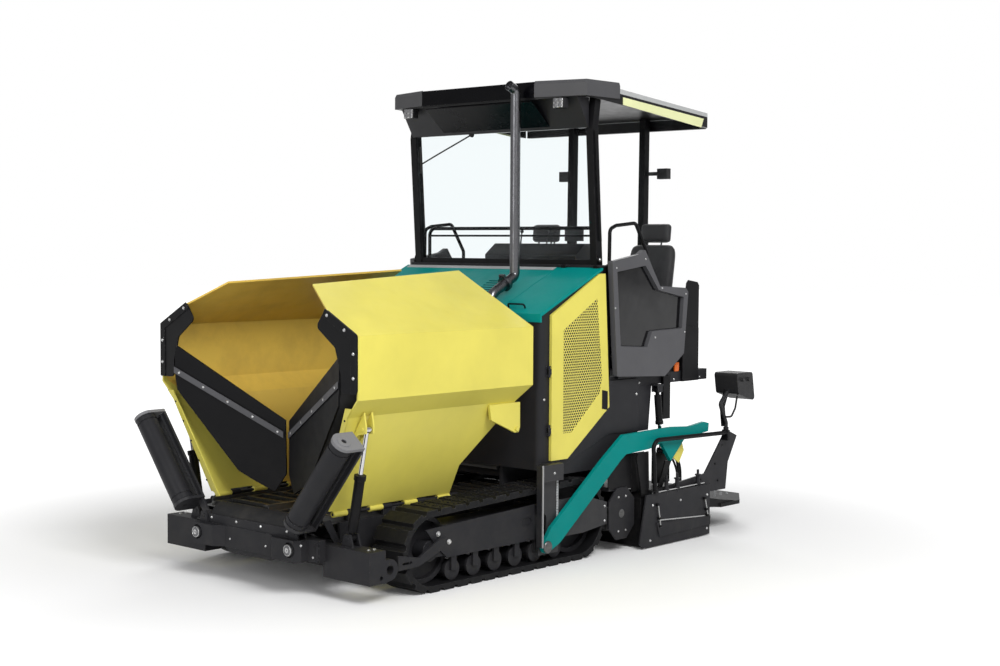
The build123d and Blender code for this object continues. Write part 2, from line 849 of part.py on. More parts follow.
# Push roller carriers: back plate and D-shaped caps, folded up beside the hopper
roller_run = Vector(push_high[0] - push_low[0], 0, push_high[1] - push_low[1])
roller_len = roller_run.length
roller_dir = roller_run.normalized()
push_foot = Vector(push_low[0], push_y, push_low[1])
cap_reach = push_r + back_plate_gap + back_plate_t
carrier_plane = Plane(origin=push_foot, x_dir=(0, 1, 0), z_dir=roller_run)
with BuildPart() as roller_carrier_left:
    for start in (-cap_t - cap_gap, roller_len + cap_gap):
        with BuildSketch(carrier_plane.offset(start)):
            Circle(push_r + cap_over)
            with Locations((cap_reach / 2, 0)):
                Rectangle(cap_reach, 2 * (push_r + cap_over))
            Circle(push_pin_r + pin_fit, mode=Mode.SUBTRACT)
        extrude(amount=cap_t)
    cap_out = push_foot + roller_dir * (roller_len + cap_gap + cap_t)
    turned(
        cap_out,
        roller_run,
        [(-1, push_pin_r + pin_fit), (-1, cover_r), (cover_t - 2, cover_r), (cover_t, cover_r - 4), (cover_t, push_pin_r + pin_fit)],
    )
    reach = Vector(push_low[0] - pivot_x, 0, push_low[1] - pivot_z).dot(roller_dir)
    with BuildSketch(carrier_plane.offset(-cap_t - cap_gap)):
        with Locations((push_r + back_plate_gap + back_plate_t / 2, 0)):
            Rectangle(back_plate_t, 2 * (push_r + cap_over))
        for across in (-push_r / 2, push_r / 2):
            with Locations((push_r + back_plate_gap - back_rib_h / 2 + 1, across)):
                Rectangle(back_rib_h, back_rib_t)
    extrude(amount=roller_len + 2 * cap_t + 2 * cap_gap)
    shin = Plane(origin=(pivot_x, pivot_y, pivot_z), x_dir=(0, 1, 0), z_dir=roller_run)
    with BuildSketch(shin):
        Rectangle(back_plate_t, 2 * shin_half)
    extrude(amount=reach - cap_t)
    rod((pivot_x, pivot_y - boss_half, pivot_z), (pivot_x, pivot_y + boss_half, pivot_z), shin_half)
    rod(
        (pivot_x, pivot_y - boss_half - 1, pivot_z),
        (pivot_x, pivot_y + boss_half + 1, pivot_z),
        pivot_r + pin_fit,
        mode=Mode.SUBTRACT,
    )
keep(roller_carrier_left, "roller_carrier_left")
mirrored(roller_carrier_left, "roller_carrier_right")

with BuildPart() as push_roller_left:
    groove = [(push_groove[0], push_r), (push_groove[0], push_r - push_groove[2])]
    groove = groove + [(push_groove[1], push_r - push_groove[2]), (push_groove[1], push_r)]
    turned(
        push_foot,
        roller_run,
        [(0, 0), (0, push_r - 3), (3, push_r)]
        + groove
        + [(roller_len - run, radius) for run, radius in reversed(groove)]
        + [(roller_len - 3, push_r), (roller_len, push_r - 3), (roller_len, 0)],
    )
    rod(push_foot - roller_dir * (cap_t + cap_gap), push_foot + roller_dir * (roller_len + cap_gap + cap_t), push_pin_r)
keep(push_roller_left, "push_roller_left")
mirrored(push_roller_left, "push_roller_right")

# Hopper floor with conveyor troughs
with BuildPart() as hopper_floor:
    trough_x = side_member_x - side_member_t / 2
    block(-trough_x, trough_x, hopper_front + 60, frame_rear_y, floor_z - floor_t, floor_z)
    for side in (-1, 1):
        block(side * (hinge_x - 34), side * (hinge_x - 24), hopper_front + 100, hopper_rear, floor_z, hinge_z - 10)
    front_plate([(-45, floor_z - 1), (-20, floor_z + 55), (20, floor_z + 55), (45, floor_z - 1)],
                hopper_front + 100, frame_rear_y)
keep(hopper_floor, "hopper_floor")

with BuildPart() as slat_conveyors:
    for side in (-1, 1):
        for x in (60, 540):
            block(side * x, side * (x + 30), hopper_front + 80, frame_rear_y, floor_z + seat_gap, floor_z + 22)
        for n in range(slat_count):
            y = hopper_front + 100 + n * slat_pitch
            block(side * 70, side * 560, y, y + slat_w, floor_z + 4, floor_z + 26)
keep(slat_conveyors, "slat_conveyors")

# Hopper apron: a rubber sheet bulging up from the beam's lip to the hopper floor
with BuildPart() as hopper_apron:
    with BuildSketch(Plane.YZ.offset(-apron_half)) as bulge:
        with BuildLine():
            ThreePointArc(apron_low, apron_mid, apron_high)
            Line(apron_high, (apron_high[0], apron_high[1] - apron_t))
            ThreePointArc(
                (apron_high[0], apron_high[1] - apron_t),
                (apron_mid[0] + apron_t / 2, apron_mid[1] - apron_t),
                (apron_low[0] + apron_t, apron_low[1]),
            )
            Line((apron_low[0] + apron_t, apron_low[1]), apron_low)
        make_face()
    extrude(bulge.sketch, amount=2 * apron_half)
keep(hopper_apron, "hopper_apron")

# Hopper wings: bent plate from the hinge to the inward-leaning rim, folded up
rim_z_rear = wing_top[1] + rim_slope * (wing_top[0] - rim_rear_x)
with BuildPart() as hopper_wing_left:
    front_plate(
        [
            (hinge_x, hinge_z),
            bevel_low,
            bevel_high,
            wing_top,
            (rim_rear_x, rim_z_rear),
            (rim_rear_x, rim_z_rear - wing_t * 1.13),
            (wing_top[0] - wing_t, wing_top[1] - wing_t * 0.6),
            (bevel_high[0] - wing_t, bevel_high[1] + wing_t * 0.4),
            (bevel_low[0] - wing_t, bevel_low[1] + wing_t * 0.4),
            (hinge_x - wing_t, hinge_z),
        ],
        hopper_front,
        hopper_rear,
    )
    # front edge leans forward towards the top, rear edge leans back
    side_plate(
        [
            (hopper_front - 10, hinge_z - 60),
            (hopper_front + front_lean, hinge_z - 60),
            (hopper_front + front_lean, hinge_z),
            (hopper_front, bevel_high[1]),
            (hopper_front - 10, bevel_high[1]),
        ],
        0,
        half_width,
        mode=Mode.SUBTRACT,
    )
    side_plate(
        [
            (hopper_rear + 40, hinge_z - 60),
            (hopper_rear - rear_lean - 280, hinge_z - 60),
            (hopper_rear - rear_lean - 280, hinge_z + 231),
            (hopper_rear - 60, bevel_low[1]),
            (hopper_rear, bevel_high[1]),
            (hopper_rear + 40, rim_z_rear),
        ],
        0,
        half_width,
        mode=Mode.SUBTRACT,
    )
    with BuildSketch(Plane.XY.offset(wing_top[1] + 10)) as rim_cut:
        with BuildLine():
            Polyline(
                (rim_rear_x - 20, hopper_front - 20),
                (wing_top[0] - 296, hopper_front - 20),
                (wing_top[0] - 296, hopper_front),
                (rim_front_x, hopper_front + 135),
                (rim_rear_x, hopper_rear + 40),
                (rim_rear_x - 20, hopper_rear + 40),
                close=True,
            )
        make_face()
    extrude(rim_cut.sketch, amount=500, mode=Mode.SUBTRACT)
    # front flange facing the truck, narrower than the plate behind it
    flange_foot = Vector(hinge_x, hopper_front + front_lean, hinge_z)
    flange_head = Vector(bevel_low[0] + 50, hopper_front, bevel_low[1] + 60)
    flange_plane = Plane(
        origin=flange_foot,
        x_dir=(-1, 0, 0),
        z_dir=Vector(-1, 0, 0).cross(flange_head - flange_foot),
    )
    corners = [
        flange_foot + Vector(-2, 0, 0),
        Vector(bevel_low[0] - 4, hopper_front + front_lean * (1 - (bevel_low[1] - hinge_z) / (bevel_high[1] - hinge_z)),
               bevel_low[1]),
        flange_head,
        flange_head + Vector(-flange_w, 0, 0),
        flange_foot + Vector(-flange_w - wing_t, 0, 0),
    ]
    local = [flange_plane.to_local_coords(c) for c in corners]
    with BuildSketch(flange_plane) as strip:
        with BuildLine():
            Polyline(*[(c.X, c.Y) for c in local], close=True)
        make_face()
    extrude(strip.sketch, amount=wing_flange_t)
    # hinge knuckles along the bottom edge
    for n in range(knuckle_count):
        y = hopper_front + knuckle_start + n * knuckle_step
        rod((hinge_x, y, hinge_z), (hinge_x, y + knuckle_len, hinge_z), knuckle_r)
        rod(
            (hinge_x, y + knuckle_len, hinge_z),
            (hinge_x, y + knuckle_step, hinge_z),
            knuckle_r + knuckle_cut,
            mode=Mode.SUBTRACT,
        )
    rod(
        (hinge_x, hopper_front, hinge_z),
        (hinge_x, hopper_front + knuckle_start, hinge_z),
        knuckle_r + knuckle_cut,
        mode=Mode.SUBTRACT,
    )
    rod((hinge_x, hopper_front, hinge_z), (hinge_x, hopper_rear, hinge_z), knuckle_pin_r + pin_fit, mode=Mode.SUBTRACT)
    # lugs for the wing cylinder
    for y in (wing_cyl_y - boss_half - lug_gap - lug_t, wing_cyl_y + boss_half + lug_gap):
        front_plate(
            [
                (bevel_low[0] - 90, 1035),
                (wing_pin[0] - 30, wing_pin[1] - 35),
                (wing_pin[0] + 30, wing_pin[1] - 25),
                (wing_pin[0] + 32, wing_pin[1] + 20),
                (bevel_low[0] + 40, bevel_low[1] + 30),
            ],
            y,
            y + lug_t,
        )
    for y in (wing_cyl_y - lug_reach, wing_cyl_y + lug_reach - wing_pin_end):
        rod((wing_pin[0], y, wing_pin[1]), (wing_pin[0], y + wing_pin_end, wing_pin[1]), wing_pin_r)
    # locking lug under the bevel at the rear
    side_plate(placed(rear_lug), rear_lug_x, rear_lug_x + rear_lug_t)
    rod(
        (rear_lug_x - 14, box_front + rear_lug_pin[0], rear_lug_pin[1]),
        (rear_lug_x + rear_lug_t + 14, box_front + rear_lug_pin[0], rear_lug_pin[1]),
        rear_lug_pin[2],
    )
keep(hopper_wing_left, "hopper_wing_left")
mirrored(hopper_wing_left, "hopper_wing_right")

# Black edge plate on the wing's front, the hanging rubber flap and its clamping bar
with BuildPart() as wing_edge_left:
    front_plate(edge_outline, hopper_front - edge_t, hopper_front - seat_gap, bend=edge_round)
    front_plate(trim_outline, hopper_front - edge_t - edge_trim, hopper_front - edge_t + 1)
    flap_run = Vector(flap_to[0] - flap_from[0], flap_to[1] - flap_from[1], 0)
    flap_plane = Plane(
        origin=(flap_from[0], box_front + flap_from[1], 0),
        x_dir=flap_run,
        z_dir=flap_run.cross(Vector(0, 0, 1)),
    )
    with BuildSketch(flap_plane.offset(-flap_t / 2)) as sheet:
        with BuildLine():
            Polyline(*flap_outline, close=True)
        make_face()
    extrude(sheet.sketch, amount=flap_t)
    for side in (-1, 1):
        with BuildSketch(flap_plane.offset(side * (flap_t / 2 - 1))) as bar:
            with BuildLine():
                Polyline(*clamp_bar, close=True)
            make_face()
        extrude(bar.sketch, amount=side * (clamp_t + 1))
keep(wing_edge_left, "wing_edge_left")
mirrored(wing_edge_left, "wing_edge_right")

# Wing cylinders
foot = Vector(wing_foot[0], wing_cyl_y, wing_foot[1])
pin_point = Vector(wing_pin[0], wing_cyl_y, wing_pin[1])
wing_dir = (pin_point - foot).normalized()
with BuildPart() as wing_barrel_left:
    turned(
        foot,
        wing_dir,
        [
            (0, 0),
            (0, 20),
            (barrel_start, 20),
            (barrel_start, barrel_r),
            (barrel_len - collar_len, barrel_r),
            (barrel_len - collar_len, collar_r),
            (barrel_len, collar_r),
            (barrel_len, rod_r + pin_fit),
            (barrel_start + 22, rod_r + pin_fit),
            (barrel_start + 22, 0),
        ],
    )
    rod((foot.X, foot.Y - boss_half, foot.Z), (foot.X, foot.Y + boss_half, foot.Z), 26)
    rod((foot.X, foot.Y - 40, foot.Z), (foot.X, foot.Y + 40, foot.Z), pivot_r + pin_fit, mode=Mode.SUBTRACT)
keep(wing_barrel_left, "wing_barrel_left")
mirrored(wing_barrel_left, "wing_barrel_right")

with BuildPart() as wing_rod_left:
    rod(foot + wing_dir * rod_start, pin_point, rod_r)
    rod((pin_point.X, pin_point.Y - boss_half, pin_point.Z), (pin_point.X, pin_point.Y + boss_half, pin_point.Z), 24)
keep(wing_rod_left, "wing_rod_left")
mirrored(wing_rod_left, "wing_rod_right")

# Body shell: bulkhead with rounded corners, side walls with the door openings, rear wall
hood_rise = (hood_rear[1] - hood_front[1]) / (hood_rear[0] - hood_front[0] - hood_t)


def under_hood(y):
    """Height of the side wall's top edge below the hood."""
    return hood_rear[1] - hood_t - hood_rise * (hood_rear[0] - y) - hood_seal


with BuildPart() as body_shell:
    with BuildSketch(Plane.XY.offset(body_bottom_z)) as plan:
        with BuildLine():
            Polyline(
                (-body_x, deck_front),
                (-body_x, bulkhead_y + corner_r),
            )
            ThreePointArc(
                (-body_x, bulkhead_y + corner_r),
                (-body_x + corner_r * 0.293, bulkhead_y + corner_r * 0.293),
                (-body_x + corner_r, bulkhead_y),
            )
            Line((-body_x + corner_r, bulkhead_y), (body_x - corner_r, bulkhead_y))
            ThreePointArc(
                (body_x - corner_r, bulkhead_y),
                (body_x - corner_r * 0.293, bulkhead_y + corner_r * 0.293),
                (body_x, bulkhead_y + corner_r),
            )
            Line((body_x, bulkhead_y + corner_r), (body_x, deck_front))
            Line((body_x, deck_front), (-body_x, deck_front))
        make_face()
    extrude(plan.sketch, amount=hood_rear[1] - body_bottom_z)
    block(
        -body_x + wall_t,
        body_x - wall_t,
        bulkhead_y + wall_t,
        deck_front - wall_t,
        body_bottom_z - 1,
        hood_rear[1] + 1,
        mode=Mode.SUBTRACT,
    )
    side_plate(
        [
            (bulkhead_y - 50, under_hood(bulkhead_y) - 50 * hood_rise),
            (deck_front + 10, under_hood(deck_front) + 10 * hood_rise),
            (deck_front + 10, hood_rear[1] + 10),
            (bulkhead_y - 50, hood_rear[1] + 10),
        ],
        -half_width,
        half_width,
        mode=Mode.SUBTRACT,
    )
    block(
        -body_x + wall_t,
        body_x - wall_t,
        deck_front - wall_t - 1,
        deck_front + 1,
        body_bottom_z - 1,
        platform_z + deck_step,
        mode=Mode.SUBTRACT,
    )
    for side in (-1, 1):
        x0 = side * (body_x - wall_t)
        x1 = side * body_x
        side_plate(
            [
                (deck_front - 1, body_bottom_z + 100),
                (deck_front - 1, platform_z + deck_step),
                (body_rear, platform_z + deck_step),
                (body_rear, body_bottom_z + 190),
                (box_front + 2500, body_bottom_z + 200),
            ],
            x0,
            x1,
        )
        side_plate(
            [
                (box_front + 1944, body_bottom_z - 1),
                (box_front + 2500, body_bottom_z + 200),
                (box_front + 2600, body_bottom_z - 1),
            ],
            x0 - side,
            x1 + side,
            mode=Mode.SUBTRACT,
        )
        side_plate(placed(door_opening), x0 - side, x1 + side, mode=Mode.SUBTRACT)
        for z in door_hinge_z:
            x = side * door_pin[0]
            for low in (z - 2 * door_knuckle_half - 1, z + door_knuckle_half + 1):
                rod((x, door_pin[1], low), (x, door_pin[1], low + door_knuckle_half), door_knuckle_r)
                block(x1 - side, x, door_pin[1] - door_knuckle_r, door_pin[1], low, low + door_knuckle_half)
            rod(
                (x, door_pin[1], z - 2 * door_knuckle_half),
                (x, door_pin[1], z + 2 * door_knuckle_half),
                door_pin_r,
            )
    block(
        -body_x + wall_t - 1,
        body_x - wall_t + 1,
        body_rear - wall_t,
        body_rear,
        body_bottom_z + 200,
        platform_z + deck_step,
    )
keep(body_shell, "body_shell")

with BuildPart() as engine:
    block(-400, 560, bulkhead_y + 50, deck_front - 42, engine_foot_z, engine_top_z)
keep(engine, "engine")


def hood_piece(x0, x1):
    """The sloping hood sheet with its front lip, from x0 to x1."""
    side_plate(
        [
            hood_front,
            hood_rear,
            (hood_rear[0], hood_rear[1] - hood_t),
            (hood_front[0] + hood_t, hood_front[1] - hood_t),
            (hood_front[0] + hood_t, hood_front[1] - hood_lip),
            (hood_front[0], hood_front[1] - hood_lip),
        ],
        x0,
        x1,
    )


hood_slope = (hood_rear[1] - hood_front[1]) / (hood_rear[0] - hood_front[0])
hood_dir = Vector(0, 1, hood_slope).normalized()
hood_up = Vector(0, -hood_slope, 1).normalized()


def on_hood(x, y):
    """A point on the hood's upper face."""
    return Vector(x, y, hood_front[1] + hood_slope * (y - hood_front[0]))


with BuildPart() as hood_panel:
    hood_piece(-body_x - hood_side, lid_inner_x - lid_gap)
    rod((exhaust_x, elbow_y, 1700), (exhaust_x, elbow_y, 2000), exhaust_r + 12, mode=Mode.SUBTRACT)
    for n in range(louvre_count):
        at = on_hood((louvre_x[0] + louvre_x[1]) / 2, box_front + louvre_y + n * louvre_pitch)
        with BuildSketch(Plane(origin=at, x_dir=(1, 0, 0), z_dir=hood_up)) as slit:
            SlotOverall(louvre_x[1] - louvre_x[0], louvre_w)
        extrude(slit.sketch, amount=-louvre_d, mode=Mode.SUBTRACT)
keep(hood_panel, "hood_panel")

with BuildPart() as hood_lid:
    hood_piece(lid_inner_x, body_x + hood_side)
    grip = on_hood(0, hood_front[0] + lid_handle[2])
    tube_path(
        [
            grip + Vector(lid_handle[0], 0, 0) - hood_up * 4,
            grip + Vector(lid_handle[0], 0, 0) + hood_up * lid_handle[3],
            grip + Vector(lid_handle[1], 0, 0) + hood_up * lid_handle[3],
            grip + Vector(lid_handle[1], 0, 0) - hood_up * 4,
        ],
        lid_handle[4],
        18,
    )
    for x in lid_hinge_x:
        rod((x - lid_knuckle_half, *lid_pin), (x + lid_knuckle_half, *lid_pin), lid_knuckle_r)
        block(
            x - lid_knuckle_half,
            x + lid_knuckle_half,
            lid_pin[0] - lid_knuckle_r,
            lid_pin[0],
            hood_rear[1] - hood_t / 2 - lid_knuckle_r,
            lid_pin[1],
        )
        rod(
            (x - lid_knuckle_half - 1, *lid_pin),
            (x + lid_knuckle_half + 1, *lid_pin),
            lid_pin_r + pin_fit,
            mode=Mode.SUBTRACT,
        )
keep(hood_lid, "hood_lid")

# Exhaust: elbow up to the tilting flange, then the stack with its open mouth
tilt = math.radians(flange_tilt)
flange_dir = Vector(0, math.cos(tilt), math.sin(tilt))
flange_up = Vector(0, -math.sin(tilt), math.cos(tilt))
flange_mid = Vector(exhaust_x, flange[0], flange[1])
fold_pin = flange_mid + flange_up * fold_pin_out
with BuildPart() as exhaust_elbow:
    rise = flange_mid - flange_dir * (flange[0] - elbow_y) / math.cos(tilt)
    tube_path([(exhaust_x, elbow_y, engine_top_z + seat_gap), rise, flange_mid], exhaust_r, 70)
    rod((flange_mid - flange_dir * flange_t), flange_mid, flange_r)
    for side in (-1, 1):
        reach = Vector(side * 12, 0, 0)
        rod(fold_pin + reach, fold_pin + reach * 2.2, fold_knuckle_r)
        lug = Plane(origin=fold_pin + reach * 1.6, x_dir=(1, 0, 0), z_dir=flange_dir)
        with BuildSketch(lug.offset(-flange_t)) as strap:
            with Locations((0, (fold_knuckle_r + 6) / 2)):
                Rectangle(14.4, fold_knuckle_r + 6)
        extrude(strap.sketch, amount=flange_t - 1)
    rod(fold_pin - Vector(26.4, 0, 0), fold_pin + Vector(26.4, 0, 0), fold_pin_r)
keep(exhaust_elbow, "exhaust_elbow")

with BuildPart() as exhaust_stack:
    corner = flange_mid + flange_dir * (stack_y - flange[0]) / math.cos(tilt)
    start = flange_mid + flange_dir * 0.3
    mouth = Vector(exhaust_x, stack_y - mouth_reach, stack_top_z + mouth_rise)
    mouth_dir = (mouth - Vector(exhaust_x, stack_y, stack_top_z)).normalized()
    tube_path([start, corner, (exhaust_x, stack_y, stack_top_z), mouth], exhaust_r, 45)
    rod(mouth - mouth_dir * 30, mouth + mouth_dir, exhaust_r - exhaust_wall, mode=Mode.SUBTRACT)
    rod(start, (start + flange_dir * flange_t), flange_r)
    rod(fold_pin - Vector(10, 0, 0), fold_pin + Vector(10, 0, 0), fold_knuckle_r)
    lug = Plane(origin=fold_pin, x_dir=(1, 0, 0), z_dir=flange_dir)
    with BuildSketch(lug.offset(1)) as strap:
        with Locations((0, (fold_knuckle_r + 6) / 2)):
            Rectangle(20, fold_knuckle_r + 6)
    extrude(strap.sketch, amount=flange_t - 1)
    rod(fold_pin - Vector(11, 0, 0), fold_pin + Vector(11, 0, 0), fold_pin_r + pin_fit, mode=Mode.SUBTRACT)
keep(exhaust_stack, "exhaust_stack")

# Service doors on the sides, hinged at their front edges, a perforated sheet in each
with BuildPart() as service_door_left:
    door_x = body_x + door_gap
    side_plate(placed(door_outline), door_x, door_x + door_t)
    side_plate(placed(door_field), door_x - 1, door_x + door_t - 2 * door_sheet_t, mode=Mode.SUBTRACT)
    side_plate(placed(door_field), door_x + door_t - door_sheet_t, door_x + door_t + 1, mode=Mode.SUBTRACT)
    for z in door_hinge_z:
        low = z - door_knuckle_half
        rod((door_pin[0], door_pin[1], low), (door_pin[0], door_pin[1], z + door_knuckle_half), door_knuckle_r)
        block(door_pin[0], door_x + door_t, door_pin[1], door_front + 1, low, z + door_knuckle_half)
        rod((door_pin[0], door_pin[1], low - 1), (door_pin[0], door_pin[1], z + 25), door_pin_r + pin_fit,
            mode=Mode.SUBTRACT)
keep(service_door_left, "service_door_left")
mirrored(service_door_left, "service_door_right")

# Operator platform
with BuildPart() as platform:
    block(-deck_half, deck_half, deck_front + seat_gap, deck_rear, platform_z + deck_step + seat_gap, deck_z)
    block(-deck_half, deck_half, body_rear + seat_gap, deck_rear, platform_z, platform_z + deck_step + 1)
    block(-deck_half, deck_half, deck_front + seat_gap, deck_front + bay_wall_t, deck_z - 1, shelf_z)
    block(-deck_half, deck_half, deck_front - 6, deck_front + 110, shelf_z - shelf_t, shelf_z)
    for side in (-1, 1):
        block(
            side * (deck_half - 60),
            side * (lift_x + 34),
            lift_top[0] - 40,
            lift_top[0] + 40,
            platform_z - 12,
            platform_z + 1,
        )
        for x in (lift_x - 32, lift_x + 20):
            block(side * x, side * (x + 12), lift_top[0] - 30, lift_top[0] + 30, lift_top[1] - 20, platform_z - 11)
        rod((side * (lift_x - 32), *lift_top), (side * (lift_x + 32), *lift_top), lift_pin_r)
        side_plate(placed(console_foot_lug), side * (deck_half - 1), side * (console_x - seat_gap))
    for x in lid_hinge_x:
        for end in (x - 2 * lid_knuckle_half - 1, x + lid_knuckle_half + 1):
            rod((end, *lid_pin), (end + lid_knuckle_half, *lid_pin), lid_knuckle_r)
            block(
                end,
                end + lid_knuckle_half,
                lid_pin[0],
                deck_front,
                shelf_z - shelf_t,
                lid_pin[1] + lid_knuckle_r,
            )
        rod((x - 2 * lid_knuckle_half, *lid_pin), (x + 2 * lid_knuckle_half, *lid_pin), lid_pin_r)
keep(platform, "platform")

with BuildPart() as side_consoles:
    side_plate(placed(console_outline), console_x, half_width, bend=console_round)
    side_plate(placed(console_recess), console_x + console_frame_t, half_width + 1, mode=Mode.SUBTRACT)
    side_plate(placed(console_window), console_x - 1, half_width + 1, mode=Mode.SUBTRACT)
    mirror(about=Plane.YZ)
keep(side_consoles, "side_consoles")

with BuildPart() as rear_panels:
    side_plate(placed(rear_panel_outline), deck_half + seat_gap, deck_half + rear_panel_t)
    block(
        deck_half + seat_gap,
        deck_half + pillar_w,
        box_front + pillar_y,
        box_front + pillar_y + pillar_d,
        pillar_z[0],
        pillar_z[1],
    )
    mirror(about=Plane.YZ)
keep(rear_panels, "rear_panels")

with BuildPart() as dash_console:
    side_plate(placed(dash_outline), *dash_x, bend=12)
    block(*dash_post_x, box_front + 2760, box_front + 2880, deck_z, 2121)
    block(*screen_x, box_front + 2830, box_front + 2860, screen_z[0], screen_z[1])
    block(
        sum(screen_x) / 2 - 20,
        sum(screen_x) / 2 + 20,
        box_front + 2835,
        box_front + 2855,
        2325,
        screen_z[0] + 1,
    )
    for x in lever_x:
        rod((x, box_front + 2890, 2325), (x, box_front + 2905, 2420), 6)
        with Locations((x, box_front + 2906, 2428)):
            Sphere(15)
keep(dash_console, "dash_console")

# Seats: pedestal, pan, shaped cushion, back and headrest, arm rests
with BuildPart() as seats:
    for x in (-seat_x, seat_x):
        block(x - 150, x + 150, seat_front + 110, seat_front + 410, deck_z, seat_z - 69)
        block(x - 215, x + 215, seat_front + 30, seat_front + 450, seat_z - 70, seat_z)
        side_plate(
            [
                (seat_front, seat_z + 40),
                (seat_front + 25, seat_z - 8),
                (seat_front + 470, seat_z - 8),
                (seat_front + 470, seat_z + cushion_t - 10),
                (seat_front + 60, seat_z + cushion_t),
            ],
            x - seat_half,
            x + seat_half,
            bend=22,
        )
        side_plate(
            [
                (seat_front + 420, seat_z + 60),
                (seat_front + 430, seat_z + 330),
                (seat_front + 505, seat_z + 730),
                (seat_front + 590, seat_z + 730),
                (seat_front + 540, seat_z + 330),
                (seat_front + 530, seat_z + 60),
            ],
            x - seat_half + 10,
            x + seat_half - 10,
            bend=24,
        )
        side_plate(
            [
                (seat_front + 515, seat_z + 745),
                (seat_front + 530, seat_z + 890),
                (seat_front + 600, seat_z + 890),
                (seat_front + 598, seat_z + 745),
            ],
            x - 140,
            x + 140,
            bend=20,
        )
        for post in (-70, 70):
            rod((x + post, seat_front + 548, seat_z + 720), (x + post, seat_front + 556, seat_z + 760), 8)
        for arm in (-seat_half - 40, seat_half - 14):
            side_plate(
                [
                    (seat_front + 110, seat_z + 265),
                    (seat_front + 110, seat_z + 305),
                    (seat_front + 480, seat_z + 315),
                    (seat_front + 480, seat_z + 275),
                ],
                x + arm,
                x + arm + 54,
                bend=14,
            )
keep(seats, "seats")

# Handrails: the two rails over the hood's rear edge and the loops beside the platform
with BuildPart() as handrails:
    rail_y = deck_front + 88
    tube_path(
        [
            (-rail_half, rail_y, shelf_z),
            (-rail_half, rail_y, 2448),
            (rail_half, rail_y, 2448),
            (rail_half, rail_y, shelf_z),
        ],
        rail_r,
        60,
    )
    rod((-rail_half + 6, rail_y, 2390), (rail_half - 6, rail_y, 2390), 8)
    for side in (-1, 1):
        x = side * (deck_half - 20)
        tube_path(
            [
                (x, box_front + 2540, 2110),
                (x, box_front + 2545, 2440),
                (x, box_front + 2620, 2468),
                (x, box_front + 2860, 2490),
                (x, box_front + 3010, 2260),
                (x, box_front + 3010, 1940),
            ],
            rail_r,
            45,
        )
        for y, z in ((box_front + 2541, 2140), (box_front + 3010, 1985)):
            block(side * (deck_half - 25), side * (console_x - seat_gap), y - 10, y + 10, z - 15, z + 15)
keep(handrails, "handrails")

# Canopy: posts, windscreen, roof
roof_drop = (roof_front_z - roof_rear_z) / (roof_rear - roof_corner_y)


def under_roof(y):
    """Height of the roof's underside over a station."""
    return roof_front_z - roof_drop * (y - roof_corner_y) - roof_t


with BuildPart() as canopy_frame:
    for side in (-1, 1):
        side_plate(
            [
                (box_front + 2415, shelf_z),
                (box_front + 2350, 3180),
                (box_front + 2400, under_roof(box_front + 2400)),
                (box_front + 2460, under_roof(box_front + 2460)),
                (box_front + 2420, 3200),
                (box_front + 2485, shelf_z),
            ],
            side * (post_x - post_half),
            side * (post_x + post_half),
        )
        side_plate(
            [
                (rear_post_y - 60, deck_z),
                (rear_post_y - 35, under_roof(rear_post_y - 35)),
                (rear_post_y + 25, under_roof(rear_post_y + 25)),
                (rear_post_y + 5, deck_z),
            ],
            side * (rear_post_x - post_half),
            side * (rear_post_x + post_half),
        )
        rod(
            (side * (post_x + post_half - 1), box_front + 2440, shelf_z + 40),
            (side * (post_x + post_half + 12), box_front + 2440, shelf_z + 40),
            26,
        )
        rod(
            (side * (post_x + post_half + 8), box_front + 2448, shelf_z + 180),
            (side * (post_x + post_half + 8), box_front + 2380, 3170),
            11,
        )
        for z in (shelf_z + 190, 3150):
            y = box_front + 2448 - 68 * (z - shelf_z - 180) / (3170 - shelf_z - 180)
            block(side * (post_x + post_half - 1), side * (post_x + post_half + 9), y - 10, y + 10, z - 10, z + 10)
    block(-post_x + post_half, post_x - post_half, box_front + 2425, box_front + 2465, shelf_z, shelf_z + 40)
    side_plate(
        [
            (box_front + 2352, 3192),
            (box_front + 2358, 3290),
            (box_front + 2388, 3290),
            (box_front + 2386, 3192),
        ],
        -post_x + post_half - 1,
        post_x - post_half + 1,
    )
keep(canopy_frame, "canopy_frame")

with BuildPart() as windscreen:
    side_plate(
        [
            (box_front + 2436, shelf_z + 40 + seat_gap),
            (box_front + 2370, 3191),
            (box_front + 2378, 3191),
            (box_front + 2444, shelf_z + 40 + seat_gap),
        ],
        -post_x + post_half + seat_gap,
        post_x - post_half - seat_gap,
    )
keep(windscreen, "windscreen")

